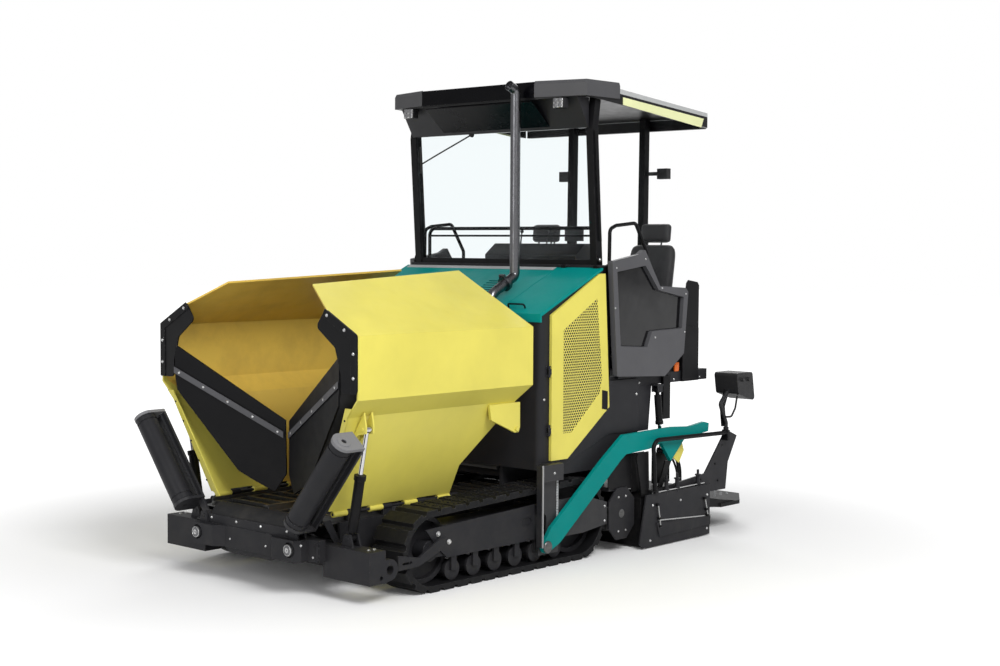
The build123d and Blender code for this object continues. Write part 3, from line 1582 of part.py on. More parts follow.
shell_half = roof_half - cap_skin - seat_gap
shell_nose = roof_nose + cap_skin + seat_gap
with BuildPart() as roof_shell:
    with BuildSketch(Plane.XY.offset(3200)):
        with BuildLine():
            Polyline(
                (-shell_half, roof_corner_y + cap_skin),
                (-roof_corner_x, shell_nose),
                (roof_corner_x, shell_nose),
                (shell_half, roof_corner_y + cap_skin),
                (shell_half, roof_rear - 60),
                (shell_half - 60, roof_rear),
                (-shell_half + 60, roof_rear),
                (-shell_half, roof_rear - 60),
                close=True,
            )
        make_face()
    extrude(amount=400)
    side_plate(
        [
            (roof_nose - 10, roof_front_z),
            (roof_corner_y, roof_front_z),
            (roof_rear + 10, roof_rear_z),
            (roof_rear + 10, 3700),
            (roof_nose - 10, 3700),
        ],
        -roof_half - 1,
        roof_half + 1,
        mode=Mode.SUBTRACT,
    )
    side_plate(
        [
            (roof_nose - 10, roof_front_z - roof_rim - 20),
            (roof_corner_y, roof_front_z - roof_rim),
            (roof_rear + 10, roof_rear_z - roof_rim),
            (roof_rear + 10, 3100),
            (roof_nose - 10, 3100),
        ],
        -roof_half - 1,
        roof_half + 1,
        mode=Mode.SUBTRACT,
    )
    side_plate(
        [
            (roof_corner_y + 60, under_roof(roof_corner_y + 60)),
            (roof_rear - roof_t, under_roof(roof_rear - roof_t)),
            (roof_rear - roof_t, 3100),
            (roof_corner_y + 60, 3100),
        ],
        -roof_half + roof_border,
        roof_half - roof_border,
        mode=Mode.SUBTRACT,
    )
keep(roof_shell, "roof_shell")

with BuildPart() as roof_fascia:
    block(-roof_corner_x, roof_corner_x, roof_nose, roof_nose + cap_skin, roof_front_z - roof_rim, roof_front_z)
    side_plate(
        [
            (shell_nose, roof_front_z - roof_rim - 22),
            (shell_nose, roof_front_z - roof_rim - 30),
            (box_front + 2351.9, 3196),
            (box_front + 2352.2, 3204),
        ],
        -roof_corner_x + 30,
        roof_corner_x - 30,
    )
keep(roof_fascia, "roof_fascia")

with BuildPart() as roof_caps:
    for level, inset in ((0, 0), (roof_rim - 20, 0), (roof_rim + 6, 9)):
        with BuildSketch(Plane.XY.offset(roof_front_z - roof_rim + level)):
            with BuildLine():
                Polyline(
                    (roof_corner_x + 1, roof_nose + inset),
                    (roof_half - inset, roof_corner_y + inset),
                    (roof_half - inset, cap_rear),
                    (roof_half - cap_skin, cap_rear),
                    (roof_half - cap_skin, roof_corner_y + cap_skin - 2),
                    (roof_corner_x + 1, roof_nose + cap_skin - 0.5),
                    close=True,
                )
            make_face()
    loft(ruled=True)
    mirror(about=Plane.YZ)
keep(roof_caps, "roof_caps")

with BuildPart() as work_lamps:
    for side in (-1, 1):
        block(
            side * 735,
            side * 840,
            roof_corner_y - 62,
            roof_corner_y - 6,
            3330,
            roof_front_z - roof_rim - 12,
        )
        block(
            side * 765,
            side * 810,
            roof_corner_y - 20,
            roof_corner_y + 14,
            roof_front_z - roof_rim - 40,
            roof_front_z - roof_rim - 24,
        )
        block(
            side * 765,
            side * 810,
            roof_corner_y,
            roof_corner_y + 14,
            roof_front_z - roof_rim - 25,
            under_roof(roof_corner_y + 14) + roof_t - roof_rim - seat_gap,
        )
        block(side * 480, side * 580, rear_post_y + 40, rear_post_y + 95, 2868, 2955)
        block(
            side * (rear_post_x + post_half + seat_gap),
            side * 500,
            rear_post_y - 15,
            rear_post_y + 5,
            2895,
            2925,
        )
        block(side * 485, side * 515, rear_post_y - 15, rear_post_y + 45, 2895, 2925)
keep(work_lamps, "work_lamps")

# Tow columns: guide plates with a slot, a front flange and a capped head, and the side covers behind them
with BuildPart() as tow_columns:
    block(column_x, column_x + tow_plate_t, column_y0, column_y1, column_bottom_z, column_top_z)
    side_plate(placed(cover_outline), column_x, column_x + cover_plate_t)
    block(
        column_x + 1,
        column_x + tow_plate_t + scale_t,
        column_y1 - scale_w,
        column_y1,
        column_bottom_z + 60,
        column_top_z - column_head - 10,
    )
    with BuildSketch(Plane.YZ.offset(column_x - 1)):
        with Locations((tow_pin[0], tow_pin[1] + tow_travel / 2)):
            SlotOverall(tow_travel + tow_slot, tow_slot, rotation=90)
    extrude(amount=tow_plate_t + 2, mode=Mode.SUBTRACT)
    block(body_x, column_x + 1, bulkhead_y + 1, column_y1 - 20, column_top_z - 20, column_top_z + 30)
    block(column_x, column_out, column_y0 - 10, column_y0 - seat_gap, column_bottom_z + 60, column_top_z + 30)
    block(
        column_x + tow_plate_t + seat_gap,
        column_out,
        column_y0,
        column_y1,
        column_top_z - column_head,
        column_top_z + 30,
    )
    mirror(about=Plane.YZ)
keep(tow_columns, "tow_columns")

with BuildPart() as tow_slides:
    turned(
        (column_x - 3, *tow_pin),
        (1, 0, 0),
        [
            (0, 0),
            (0, tow_pin_r),
            (arm_x + arm_t + 1 - column_x + 3, tow_pin_r),
            (arm_x + arm_t + 1 - column_x + 3, tow_disc_r),
            (arm_x + arm_t - 2 - column_x + tow_disc_t, tow_disc_r),
            (arm_x + arm_t + 4 - column_x + tow_disc_t, tow_disc_r - 6),
            (arm_x + arm_t + 4 - column_x + tow_disc_t, 0),
        ],
    )
    mirror(about=Plane.YZ)
keep(tow_slides, "tow_slides")

# Tow arms: inclined plate from the tow pin, bend, then the bar over the screed
arm_up = Vector(arm_line[1][0] - arm_line[0][0], arm_line[1][1] - arm_line[0][1]).normalized()
arm_side = Vector(-arm_up.Y, arm_up.X)
pin_v = Vector(*tow_pin)
with BuildPart() as tow_arms:
    run_in = pin_v + arm_up * arm_taper
    low_end = pin_v - arm_side * arm_end_r
    high_end = pin_v + arm_side * arm_end_r
    low = run_in - arm_side * arm_width / 2
    high = run_in + arm_side * arm_width / 2
    side_plate(
        [(low_end.X, low_end.Y), (low.X, low.Y)]
        + placed(arm_tail)
        + [(high.X, high.Y), (high_end.X, high_end.Y)],
        arm_x,
        arm_x + arm_t,
    )
    rod((arm_x, *tow_pin), (arm_x + arm_t, *tow_pin), arm_end_r)
    rod((arm_x - 1, *tow_pin), (arm_x + arm_t + 1, *tow_pin), tow_pin_r + pin_fit, mode=Mode.SUBTRACT)
    rod((lift_x + lift_eye_half + open_eye_gap, *lift_eye), (arm_x + 1, *lift_eye), 2 * lift_pin_r)
    mirror(about=Plane.YZ)
keep(tow_arms, "tow_arms")

# Auger housing with the end plates, and the two augers with their helical flights
with BuildPart() as auger_housing:
    block(-auger_half + 100, auger_half - 100, frame_rear_y + seat_gap, frame_rear_y + 100, 500, 640)
    for side in (-1, 1):
        rim = [
            (-end_plate_half[0], end_plate_high[0]),
            (end_plate_half[0], end_plate_high[0]),
            (end_plate_half[1], end_plate_high[1]),
            (end_plate_half[1], -end_plate_high[1]),
            (end_plate_half[0], -end_plate_high[0]),
            (-end_plate_half[0], -end_plate_high[0]),
            (-end_plate_half[1], -end_plate_high[1]),
            (-end_plate_half[1], end_plate_high[1]),
        ]
        side_plate(
            [(auger_y + y, auger_z + z) for y, z in rim],
            side * (auger_half + 10),
            side * (auger_half + 10 + end_plate_t),
        )
        rod(
            (side * auger_half, auger_y, auger_z),
            (side * (auger_half + 30), auger_y, auger_z),
            auger_shaft_r + pin_fit,
            mode=Mode.SUBTRACT,
        )
        block(side * (auger_half - 150), side * (auger_half + 10), frame_rear_y + 20, auger_y + 60, 470, 501)
    block(-50, 50, frame_rear_y + 20, auger_y + 60, auger_z - 90, 560)
keep(auger_housing, "auger_housing")

flight_run = auger_half - auger_start - 60
with BuildPart() as auger_left:
    rod((50.3, auger_y, auger_z), (auger_half + 10 + end_plate_t, auger_y, auger_z), auger_shaft_r)
    flight_foot = Vector(auger_start + 30, auger_y, auger_z)
    with BuildLine() as coil:
        Helix(auger_pitch, flight_run, (auger_shaft_r - 4 + auger_r) / 2, center=flight_foot, direction=(1, 0, 0))
    outward = (coil.line @ 0) - flight_foot
    with BuildSketch(Plane(origin=coil.line @ 0, x_dir=outward, z_dir=coil.line % 0)) as blade:
        Rectangle(auger_r - auger_shaft_r + 4, flight_t)
    sweep(blade.sketch, path=coil.line, is_frenet=True)
keep(auger_left, "auger_left")
mirrored(auger_left, "auger_right")

# Screed: hollow body on its sole plate, end walls, brackets to the tow arms
with BuildPart() as screed_body:
    side_plate(placed(screed_section), -screed_half, screed_half)
    side_plate(placed(screed_hollow), -screed_half + screed_plate_t, screed_half - screed_plate_t, mode=Mode.SUBTRACT)
    for side in (-1, 1):
        side_plate(placed(hanger_outline), side * (arm_x - 14), side * (arm_x - seat_gap))
keep(screed_body, "screed_body")

with BuildPart() as screed_brackets:
    side_plate(placed(bracket_outline), screed_half + seat_gap, screed_half + screed_plate_t)
    for y, z in gate_bolts:
        rod((screed_half + screed_plate_t - 1, box_front + y, z), (screed_gate_x - seat_gap, box_front + y, z), 22)
    rod(
        (screed_half + 7, box_front + post_foot[0], post_foot[1] - 65),
        (screed_half + 7, box_front + post_foot[0], post_foot[1]),
        22,
    )
    mirror(about=Plane.YZ)
keep(screed_brackets, "screed_brackets")

# End gates with their sliding lower plate and the adjusting screws above
with BuildPart() as end_gates:
    side_plate(placed(gate_outline), screed_gate_x, screed_gate_x + gate_t)
    side_plate(placed(gate_slide), screed_gate_x + gate_t - 1, screed_gate_x + gate_t + 11)
    for y in gate_screws:
        turned(
            (screed_gate_x + gate_t / 2, box_front + y, gate_top_z - 20),
            (0, 0, 1),
            [
                (0, 0),
                (0, 10),
                (34, 10),
                (34, 24),
                (44, 24),
                (44, 16),
                (104, 16),
                (104, 24),
                (114, 24),
                (114, 10),
                (150, 10),
                (150, 0),
            ],
        )
    mirror(about=Plane.YZ)
keep(end_gates, "end_gates")

# Walkway behind the screed with its hangers and the rails over the side plates
with BuildPart() as screed_walkway:
    with BuildSketch(Plane.XY.offset(walkway_z)):
        with BuildLine():
            Polyline(
                (-screed_half, box_front + walk_y[0]),
                (-screed_half, box_front + walk_y[1]),
                (-walk_half, box_front + rear_reach),
                (walk_half, box_front + rear_reach),
                (screed_half, box_front + walk_y[1]),
                (screed_half, box_front + walk_y[0]),
                close=True,
            )
        make_face()
    extrude(amount=walkway_t)
    for side in (-1, 1):
        side_plate(placed(hanger_strip), side * (screed_half - 30), side * (screed_half - 12))
        tube_path(
            [
                (side * rail_x, box_front + 2905, 436),
                (side * rail_x, box_front + 2875, 830),
                (side * rail_x, box_front + 3870, 808),
            ],
            17,
            70,
        )
        side_face = side * (screed_half + screed_plate_t)
        block(side_face + side * seat_gap, side * (rail_x + 20), box_front + 2885, box_front + 2925, 420, 437)
        block(side_face + side * seat_gap, side * (rail_x + 20), box_front + 3850, box_front + 3880, 745, 830)
keep(screed_walkway, "screed_walkway")

with BuildPart() as control_boxes:
    for side in (-1, 1):
        x = side * (screed_half + 7)
        tube_path(
            [
                (x, box_front + post_foot[0], post_foot[1]),
                (x, box_front + post_foot[0], post_foot[1] + 35),
                (x, box_front + 3830, 1040),
                (x, box_front + 3930, 1130),
            ],
            16,
            30,
        )
        side_plate(placed(control_outline), x - control_half, x + control_half, bend=26)
        hose = x + side * 60
        tube_path(
            [
                (hose, box_front + 3985, 1098),
                (hose, box_front + 3960, 1000),
                (hose, box_front + 3905, 935),
                (x + side * 12, box_front + 3885, 930),
            ],
            8,
            20,
        )
        rod((x, box_front + 3880, 930), (x + side * 14, box_front + 3884, 930), 11)
        for y in knob_y:
            turned(
                (x + side * (control_half - 1), box_front + y, 1235),
                (side, 0, 0),
                [(0, 0), (0, 17), (22, 14), (24, 12), (24, 0)],
            )
keep(control_boxes, "control_boxes")

# Screed lift cylinders, from the platform's frame to the tow arms
lift_from = Vector(lift_x, *lift_top)
lift_to = Vector(lift_x, *lift_eye)
lift_dir = (lift_to - lift_from).normalized()
with BuildPart() as lift_barrels:
    turned(
        lift_from,
        lift_dir,
        [
            (0, 0),
            (0, 16),
            (45, 16),
            (45, lift_barrel_r),
            (250, lift_barrel_r),
            (250, lift_barrel_r + 4),
            (275, lift_barrel_r + 4),
            (275, lift_rod_r + pin_fit),
            (60, lift_rod_r + pin_fit),
            (60, 0),
        ],
    )
    rod((lift_x - 18, *lift_top), (lift_x + 18, *lift_top), 26)
    rod((lift_x - 19, *lift_top), (lift_x + 19, *lift_top), lift_pin_r + pin_fit, mode=Mode.SUBTRACT)
    mirror(about=Plane.YZ)
keep(lift_barrels, "lift_barrels")

with BuildPart() as lift_rods:
    rod(lift_to, lift_from + lift_dir * 245, lift_rod_r)
    rod((lift_x - lift_eye_half, *lift_eye), (lift_x + lift_eye_half, *lift_eye), 26)
    mirror(about=Plane.YZ)
keep(lift_rods, "lift_rods")
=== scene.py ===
# %% [markdown]
# A tracked asphalt paver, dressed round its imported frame. The frame brings every rigid piece at its real
# place and size, in metres, +X to the machine's left, +Y to its rear and +Z up. This lesson adds the
# finishes, the soft parts and the small hardware, and then the light and the camera.

# %% Load the frame
import json
import math

import bmesh
import bpy
import numpy as np
from mathutils import Matrix, Vector


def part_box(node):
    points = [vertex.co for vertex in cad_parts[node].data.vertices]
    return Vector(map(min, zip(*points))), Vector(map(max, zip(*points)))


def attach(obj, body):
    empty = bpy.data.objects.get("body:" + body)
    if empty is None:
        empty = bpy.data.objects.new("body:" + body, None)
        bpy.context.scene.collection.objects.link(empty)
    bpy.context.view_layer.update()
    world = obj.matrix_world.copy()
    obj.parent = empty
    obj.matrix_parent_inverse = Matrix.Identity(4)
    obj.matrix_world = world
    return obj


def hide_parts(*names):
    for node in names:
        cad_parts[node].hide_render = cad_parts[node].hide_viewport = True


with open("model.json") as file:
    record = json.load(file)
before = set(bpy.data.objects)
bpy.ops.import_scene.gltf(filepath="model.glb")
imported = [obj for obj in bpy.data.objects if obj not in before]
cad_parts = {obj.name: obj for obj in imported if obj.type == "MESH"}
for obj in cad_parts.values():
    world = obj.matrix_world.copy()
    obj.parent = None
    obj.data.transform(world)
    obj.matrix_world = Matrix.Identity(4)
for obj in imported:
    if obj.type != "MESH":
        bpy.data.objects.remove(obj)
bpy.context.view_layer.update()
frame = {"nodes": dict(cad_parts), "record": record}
nodes = frame["nodes"]
scene = bpy.context.scene

# %% [markdown]
# The camera stands to the front left of the machine, 2.3 m up. Its place, its turn and its lens were
# fitted to points of the photograph and their mirror images on the machine's other side, so they are
# written as a place, three angles and a focal length in pixels of a picture 1000 pixels wide.

# %% Camera
CAMERA_AT = Vector((8.4079, -8.9197, 2.3214))
CAMERA_AZIMUTH = math.radians(42.3)
CAMERA_DOWN = math.radians(3.2)
CAMERA_ROLL = math.radians(0.3)
FOCAL_PIXELS = 1585.7
PICTURE_WIDTH = 1000.0
SENSOR_MM = 36.0


def camera_matrix():
    """Columns right, up and backward: forward is the azimuth and dip, and the roll turns right and up."""
    a, e, r = CAMERA_AZIMUTH, CAMERA_DOWN, CAMERA_ROLL
    forward = Vector((-math.sin(a) * math.cos(e), math.cos(a) * math.cos(e), -math.sin(e)))
    level = Vector((math.cos(a), math.sin(a), 0.0))
    above = level.cross(forward)
    right = level * math.cos(r) + above * math.sin(r)
    up = above * math.cos(r) - level * math.sin(r)
    turn = Matrix((right, up, -forward)).transposed().to_4x4()
    return Matrix.Translation(CAMERA_AT) @ turn


camera_data = bpy.data.cameras.new("camera")
camera_data.sensor_width = SENSOR_MM
camera_data.lens = FOCAL_PIXELS / PICTURE_WIDTH * SENSOR_MM
camera_data.clip_end = 200.0
camera = bpy.data.objects.new("camera", camera_data)
camera.matrix_world = camera_matrix()
scene.collection.objects.link(camera)
scene.camera = camera
scene.view_settings.view_transform = "Standard"
print("lens", round(camera_data.lens, 2), "mm")

# %% [markdown]
# Every finish is built from the same few strokes. A broad cloud of noise varies the tone by a tenth, a
# fine noise gives the skin its texture, and an edge mask finds the corners: it compares the true normal
# with the one of a small rounded bevel, so it needs no modelled rounding. Paint wears through at those
# corners, and dust lies low on the machine. A zone is a mask over part of one casting or sheet that
# takes another colour. Most zones are colours that the maker paints or leaves, and some are painted
# shade or a painted highlight.

# %% Strokes that the finishes share
STATION_ZERO = -2.081
CORNER_RANGE = (0.02, 0.25)


class Finish:
    """A material under construction: its tree, its principled shader and its object coordinates."""

    def __init__(self, name):
        self.material = bpy.data.materials.new(name)
        self.material.use_nodes = True
        self.tree = self.material.node_tree
        self.shader = self.tree.nodes["Principled BSDF"]
        where = self.tree.nodes.new("ShaderNodeTexCoord")
        self.place = where.outputs["Object"]
        self.facing = where.outputs["Normal"]
        self.rounded = None

    def node(self, kind, **values):
        """A new node with its properties set."""
        made = self.tree.nodes.new(kind)
        for key, value in values.items():
            setattr(made, key, value)
        return made

    def link(self, source, target):
        self.tree.links.new(source, target)

    def noise(self, scale, detail=3.0, rough=0.55, stretch=None):
        """Cloud noise from 0 to 1, with its cells 1/scale metres across, stretched along an axis if asked."""
        made = self.node("ShaderNodeTexNoise")
        made.inputs["Scale"].default_value = scale
        made.inputs["Detail"].default_value = detail
        made.inputs["Roughness"].default_value = rough
        place = self.place
        if stretch:
            mapping = self.node("ShaderNodeMapping")
            mapping.inputs["Scale"].default_value = stretch
            self.link(place, mapping.inputs["Vector"])
            place = mapping.outputs[0]
        self.link(place, made.inputs["Vector"])
        return made.outputs["Fac"]

    def ramp(self, value, low, high, start=0.0, end=1.0):
        """A straight ramp of a value between two limits, held outside them."""
        made = self.node("ShaderNodeMapRange", clamp=True)
        for key, number in (("From Min", low), ("From Max", high), ("To Min", start), ("To Max", end)):
            made.inputs[key].default_value = number
        self.link(value, made.inputs["Value"])
        return made.outputs[0]

    def math(self, operation, *values):
        """One sum of up to three values, each a socket or a number."""
        made = self.node("ShaderNodeMath", operation=operation)
        for slot, value in zip(made.inputs, values):
            if isinstance(value, (int, float)):
                slot.default_value = value
            else:
                self.link(value, slot)
        return made.outputs[0]

    def blend(self, share, a, b):
        """Colour a going over to colour b by a share."""
        made = self.node("ShaderNodeMix", data_type="RGBA")
        self.link(share, made.inputs["Factor"])
        for slot, value in ((made.inputs[6], a), (made.inputs[7], b)):
            if isinstance(value, tuple):
                slot.default_value = (*value, 1)
            else:
                self.link(value, slot)
        return made.outputs[2]

    def edges(self, radius):
        """A mask of the corners: one minus the product of the true and the bevelled normal."""
        bevel = self.node("ShaderNodeBevel", samples=4)
        bevel.inputs["Radius"].default_value = radius
        true = self.node("ShaderNodeNewGeometry").outputs["Normal"]
        dot = self.node("ShaderNodeVectorMath", operation="DOT_PRODUCT")
        self.link(bevel.outputs[0], dot.inputs[0])
        self.link(true, dot.inputs[1])
        self.rounded = bevel.outputs[0]
        return self.ramp(self.math("SUBTRACT", 1.0, dot.outputs["Value"]), *CORNER_RANGE)

    def axes(self, vector=None):
        """The three numbers of a vector, the place on the piece unless another is given."""
        split = self.node("ShaderNodeSeparateXYZ")
        self.link(self.place if vector is None else vector, split.inputs[0])
        return split.outputs

    def line(self, weights, shift):
        """A plane's value: x, y and z each times its weight, summed, plus a shift."""
        total = shift
        for weight, axis in zip(weights, self.axes()):
            if weight:
                total = self.math("MULTIPLY_ADD", axis, weight, total)
        return total

    def both(self, *masks):
        """The product of masks: one only where all are."""
        total = masks[0]
        for mask in masks[1:]:
            total = self.math("MULTIPLY", total, mask)
        return total

    def above(self, value, limit):
        return self.math("GREATER_THAN", value, limit)

    def below(self, value, limit):
        return self.math("LESS_THAN", value, limit)

    def outside(self):
        """The distance from the machine's middle plane, the same on both sides."""
        return self.math("ABSOLUTE", self.axes()[0])

    def station(self):
        """The distance behind the front faces of the push beam's boxes."""
        return self.math("SUBTRACT", self.axes()[1], STATION_ZERO)

    def holes(self, across, up, pitch, radius):
        """Round holes in rows set half a pitch over: the nearest point of two square-cornered lattices."""
        nearest = None
        for shift in (0.0, 0.5):
            flat = self.node("ShaderNodeCombineXYZ")
            for slot, value, step in ((0, across, pitch), (1, up, pitch * math.sqrt(3))):
                moved = self.math("ADD", value, shift * step)
                self.link(self.math("WRAP", moved, step / 2, -step / 2), flat.inputs[slot])
            far = self.node("ShaderNodeVectorMath", operation="LENGTH")
            self.link(flat.outputs[0], far.inputs[0])
            reach = far.outputs["Value"]
            nearest = reach if nearest is None else self.math("MINIMUM", nearest, reach)
        return self.below(nearest, radius)

    def within(self, corners):
        """One inside a convex outline given as stations and heights in millimetres, walked clockwise."""
        least = 10.0
        for (s0, z0), (s1, z1) in zip(corners, corners[1:] + corners[:1]):
            run, rise = (s1 - s0) * 0.001, (z1 - z0) * 0.001
            size = math.hypot(run, rise)
            shift = (z0 * 0.001 * run - (s0 * 0.001 + STATION_ZERO) * rise) / size
            least = self.math("MINIMUM", self.line((0, rise / size, -run / size), shift), least)
        return self.above(least, 0.0)

    def bump(self, value, strength, distance=0.002):
        """Puts a height on the surface, over the rounded normal where there is one."""
        made = self.node("ShaderNodeBump")
        made.inputs["Strength"].default_value = strength
        made.inputs["Distance"].default_value = distance
        self.link(value, made.inputs["Height"])
        if self.rounded is not None:
            self.link(self.rounded, made.inputs["Normal"])
        self.link(made.outputs[0], self.shader.inputs["Normal"])

    def set(self, **values):
        """Plain values on the shader's own sockets."""
        for key, value in values.items():
            slot = self.shader.inputs[key.replace("_", " ")]
            slot.default_value = (*value, 1) if isinstance(value, tuple) else value

    def use(self, key, value):
        self.link(value, self.shader.inputs[key])


DUST = (0.22, 0.20, 0.17)
BARE_STEEL = (0.30, 0.30, 0.30)
print("strokes ready")

# %% [markdown]
# A studio photograph of a machine has a white floor that runs into a white wall, a broad soft light
# from the camera's side, a weaker one before the machine and one behind it. The floor keeps the
# machine's shadow near it. Further out the camera, mirrors and glass see it plain white, and for light
# that bounces it stays a light grey floor.

# %% Floor, world and lights
FLOOR_HALF = 60.0
FLOOR_TONE = 0.70
FLOOR_GLOW = 1.25
NEAR_SHARE = 0.02
SHADOW_REACH = (2.6, 6.0)
WORLD_LIGHT = 0.42
WHITE = (1, 1, 1, 1)
LIGHT_SIZE = 5.0
LIGHTS = (
    # name, place, target, power in watts
    ("key_light", (9.0, -4.0, 8.5), (0, 0, 1.2), 960),
    ("front_light", (1.5, -11.0, 5.0), (0, -1.0, 1.2), 260),
    ("rim_light", (-6.0, 9.0, 7.0), (0, 0.5, 1.5), 330),
)


def seen_by(tree, *kinds):
    """One where a ray of one of these kinds arrives, nought for the light that bounces."""
    path = tree.nodes.new("ShaderNodeLightPath")
    total = path.outputs[f"Is {kinds[0]} Ray"]
    for kind in kinds[1:]:
        either = tree.nodes.new("ShaderNodeMath")
        either.operation = "MAXIMUM"
        tree.links.new(total, either.inputs[0])
        tree.links.new(path.outputs[f"Is {kind} Ray"], either.inputs[1])
        total = either.outputs[0]
    return total


def shown(tree, share, usual, other, output):
    """One shader going over to another by a share, sent to the tree's output."""
    mix = tree.nodes.new("ShaderNodeMixShader")
    tree.links.new(share, mix.inputs["Fac"])
    tree.links.new(usual.outputs[0], mix.inputs[1])
    tree.links.new(other.outputs[0], mix.inputs[2])
    tree.links.new(mix.outputs[0], tree.nodes[output].inputs["Surface"])


def make_floor():
    """A flat sheet at height zero, lit near the machine and plain white beyond it."""
    mesh = bpy.data.meshes.new("studio_floor")
    s = FLOOR_HALF
    mesh.from_pydata([(-s, -s, 0), (s, -s, 0), (s, s, 0), (-s, s, 0)], [], [(0, 1, 2, 3)])
    floor = bpy.data.objects.new("studio_floor", mesh)
    scene.collection.objects.link(floor)
    f = Finish("studio_white")
    direct = seen_by(f.tree, "Camera", "Glossy", "Transmission")
    f.use("Base Color", f.blend(direct, (FLOOR_TONE,) * 3, WHITE[:3]))
    f.set(Roughness=0.85, Specular_IOR_Level=0.1)
    far = f.node("ShaderNodeVectorMath", operation="LENGTH")
    f.link(f.place, far.inputs[0])
    share = f.node("ShaderNodeMapRange", interpolation_type="SMOOTHSTEP")
    near, beyond = SHADOW_REACH
    for key, value in (("From Min", near), ("From Max", beyond), ("To Min", NEAR_SHARE), ("To Max", 1.0)):
        share.inputs[key].default_value = value
    f.link(far.outputs["Value"], share.inputs["Value"])
    glow = f.node("ShaderNodeEmission")
    glow.inputs["Color"].default_value = WHITE
    glow.inputs["Strength"].default_value = FLOOR_GLOW
    shown(f.tree, f.both(share.outputs[0], direct), f.shader, glow, "Material Output")
    mesh.materials.append(f.material)


def make_world():
    """Plain light from all round, shown pure white behind the machine."""
    world = bpy.data.worlds.new("studio")
    scene.world = world
    world.use_nodes = True
    tree = world.node_tree
    light = tree.nodes["Background"]
    backdrop = tree.nodes.new("ShaderNodeBackground")
    for node, strength in ((light, WORLD_LIGHT), (backdrop, 1.0)):
        node.inputs["Color"].default_value = WHITE
        node.inputs["Strength"].default_value = strength
    shown(tree, seen_by(tree, "Camera", "Transmission"), light, backdrop, "World Output")


def make_area(name, place, target, power):
    """A square lamp at a place, turned to its target."""
    data = bpy.data.lights.new(name, "AREA")
    data.size = LIGHT_SIZE
    data.energy = power
    lamp = bpy.data.objects.new(name, data)
    lamp.location = place
    lamp.rotation_euler = (Vector(target) - Vector(place)).to_track_quat("-Z", "Y").to_euler()
    scene.collection.objects.link(lamp)


make_floor()
make_world()
for row in LIGHTS:
    make_area(*row)
print("stage ready")

# %% [markdown]
# Sprayed paint on thick plate is smooth but not flat: a faint orange peel shows in the highlight, the
# corners lose paint first, and stone dust settles low down. The same recipe with other numbers gives
# the yellow of the hopper, the teal of the hood and arms and the charcoal of the frame. Without wear
# and with more gloss it gives the smoked panes, the lamp lenses and the screen.

# %% Paint


def paint(name, colour, rough=0.38, chips=0.0, dust=0.0, peel=0.05, gloss=0.35, zones=()):
    """Tone varies by noise, zones take their colours, corners chip to steel, and dust lies low."""
    f = Finish(name)
    dark = tuple(c * 0.88 for c in colour)
    tone = f.blend(f.ramp(f.noise(scale=1.7, detail=4), 0.35, 0.7), colour, dark)
    for mask, other in zones:
        tone = f.blend(mask(f), tone, other)
    chip_noise = f.ramp(f.noise(scale=38, detail=5, rough=0.7), 0.5, 0.62)
    chip = f.math("MULTIPLY", f.both(f.edges(radius=0.003), chip_noise), chips)
    worn = f.blend(chip, tone, BARE_STEEL)
    low = f.ramp(f.axes()[2], 0.05, 1.1, 1.0, 0.12)
    dusty = f.both(low, f.ramp(f.noise(scale=6, detail=6, rough=0.65), 0.42, 0.75))
    dusty = f.math("MULTIPLY", dusty, dust)
    f.use("Base Color", f.blend(dusty, worn, DUST))
    sheen = f.ramp(f.noise(scale=9, detail=4), 0.3, 0.8, rough - 0.05, rough + 0.08)
    f.use("Roughness", f.math("MULTIPLY_ADD", dusty, 0.4, sheen))
    f.set(Specular_IOR_Level=gloss)
    f.bump(f.noise(scale=260, detail=2), peel)
    return f.material


YELLOW = (0.79, 0.70, 0.125)
# painted shade: the hopper wings' inner faces are darkened to this ochre
INNER_FACE_SHADE = (0.80, 0.55, 0.10)
SMEAR = (0.26, 0.15, 0.05)
TEAL = (0.0, 0.250, 0.232)
CHARCOAL = (0.021, 0.021, 0.024)
BLACK = (0.006, 0.006, 0.007)
# painted shade seen through the door's punched holes
HOLE_SHADE = (0.012, 0.010, 0.006)
CAP_GREY = (0.070, 0.070, 0.075)
RIM_GREY = (0.45, 0.46, 0.46)
DOOR_MESH = [(1936, 954), (1936, 1705), (2321, 1925), (2383, 1334), (2355, 1222), (2031, 954)]
DOOR_FRONT = 1.804
MESH_PITCH = 0.022
MESH_HOLE = 0.0080
# the front flap's plane: weights of the distance outwards, of y and of z, and a shift
FLAP_PLANE = (0.336, 0.942, 0.55, 0.904)
# the hood's sheet: station and height of its foot and of its head, in millimetres
HOOD_FOOT, HOOD_HEAD = (1690.0, 1827.0), (2400.0, 2150.0)
HOOD_SLOPE = (HOOD_HEAD[1] - HOOD_FOOT[1]) / (HOOD_HEAD[0] - HOOD_FOOT[0])
HOOD_LOWEST = 1.5
# the louvres: x from, x to, and the height that they lie above
LOUVRES = (0.09, 0.39, 1.90)
# the line between the roof's rim and its underside: station, height and slope
ROOF_LINE = (2.666, 3.452, 0.091)
# a push roller: its axis in x and z, its lower end in x and z, and its length
ROLLER_AXIS, ROLLER_FOOT, ROLLER_LENGTH = (0.6285, 0.7778), (0.599, 0.518), 0.7035
# the painted highlight along the tow column's front edge: before this station and outside this x
COLUMN_HIGHLIGHT = (1.6431, 1.112)


def hopper_inside(f):
    """The wing's inner faces behind the flaps, turned to the machine's middle: they take a painted shade."""
    across, back, up, shift = FLAP_PLANE
    behind = f.math("MULTIPLY_ADD", f.outside(), across, f.line((0, back, up), shift))
    side = f.math("SIGN", f.axes()[0])
    return f.both(f.below(f.both(f.axes(f.facing)[0], side), -0.05), f.above(behind, 0.0))


def grime(f):
    """Brown smears of old asphalt on the inner faces, in broad patches."""
    patch = f.ramp(f.noise(scale=2.3, detail=6, rough=0.6), 0.45, 0.8)
    return f.math("MULTIPLY", f.both(hopper_inside(f), patch), 0.45)


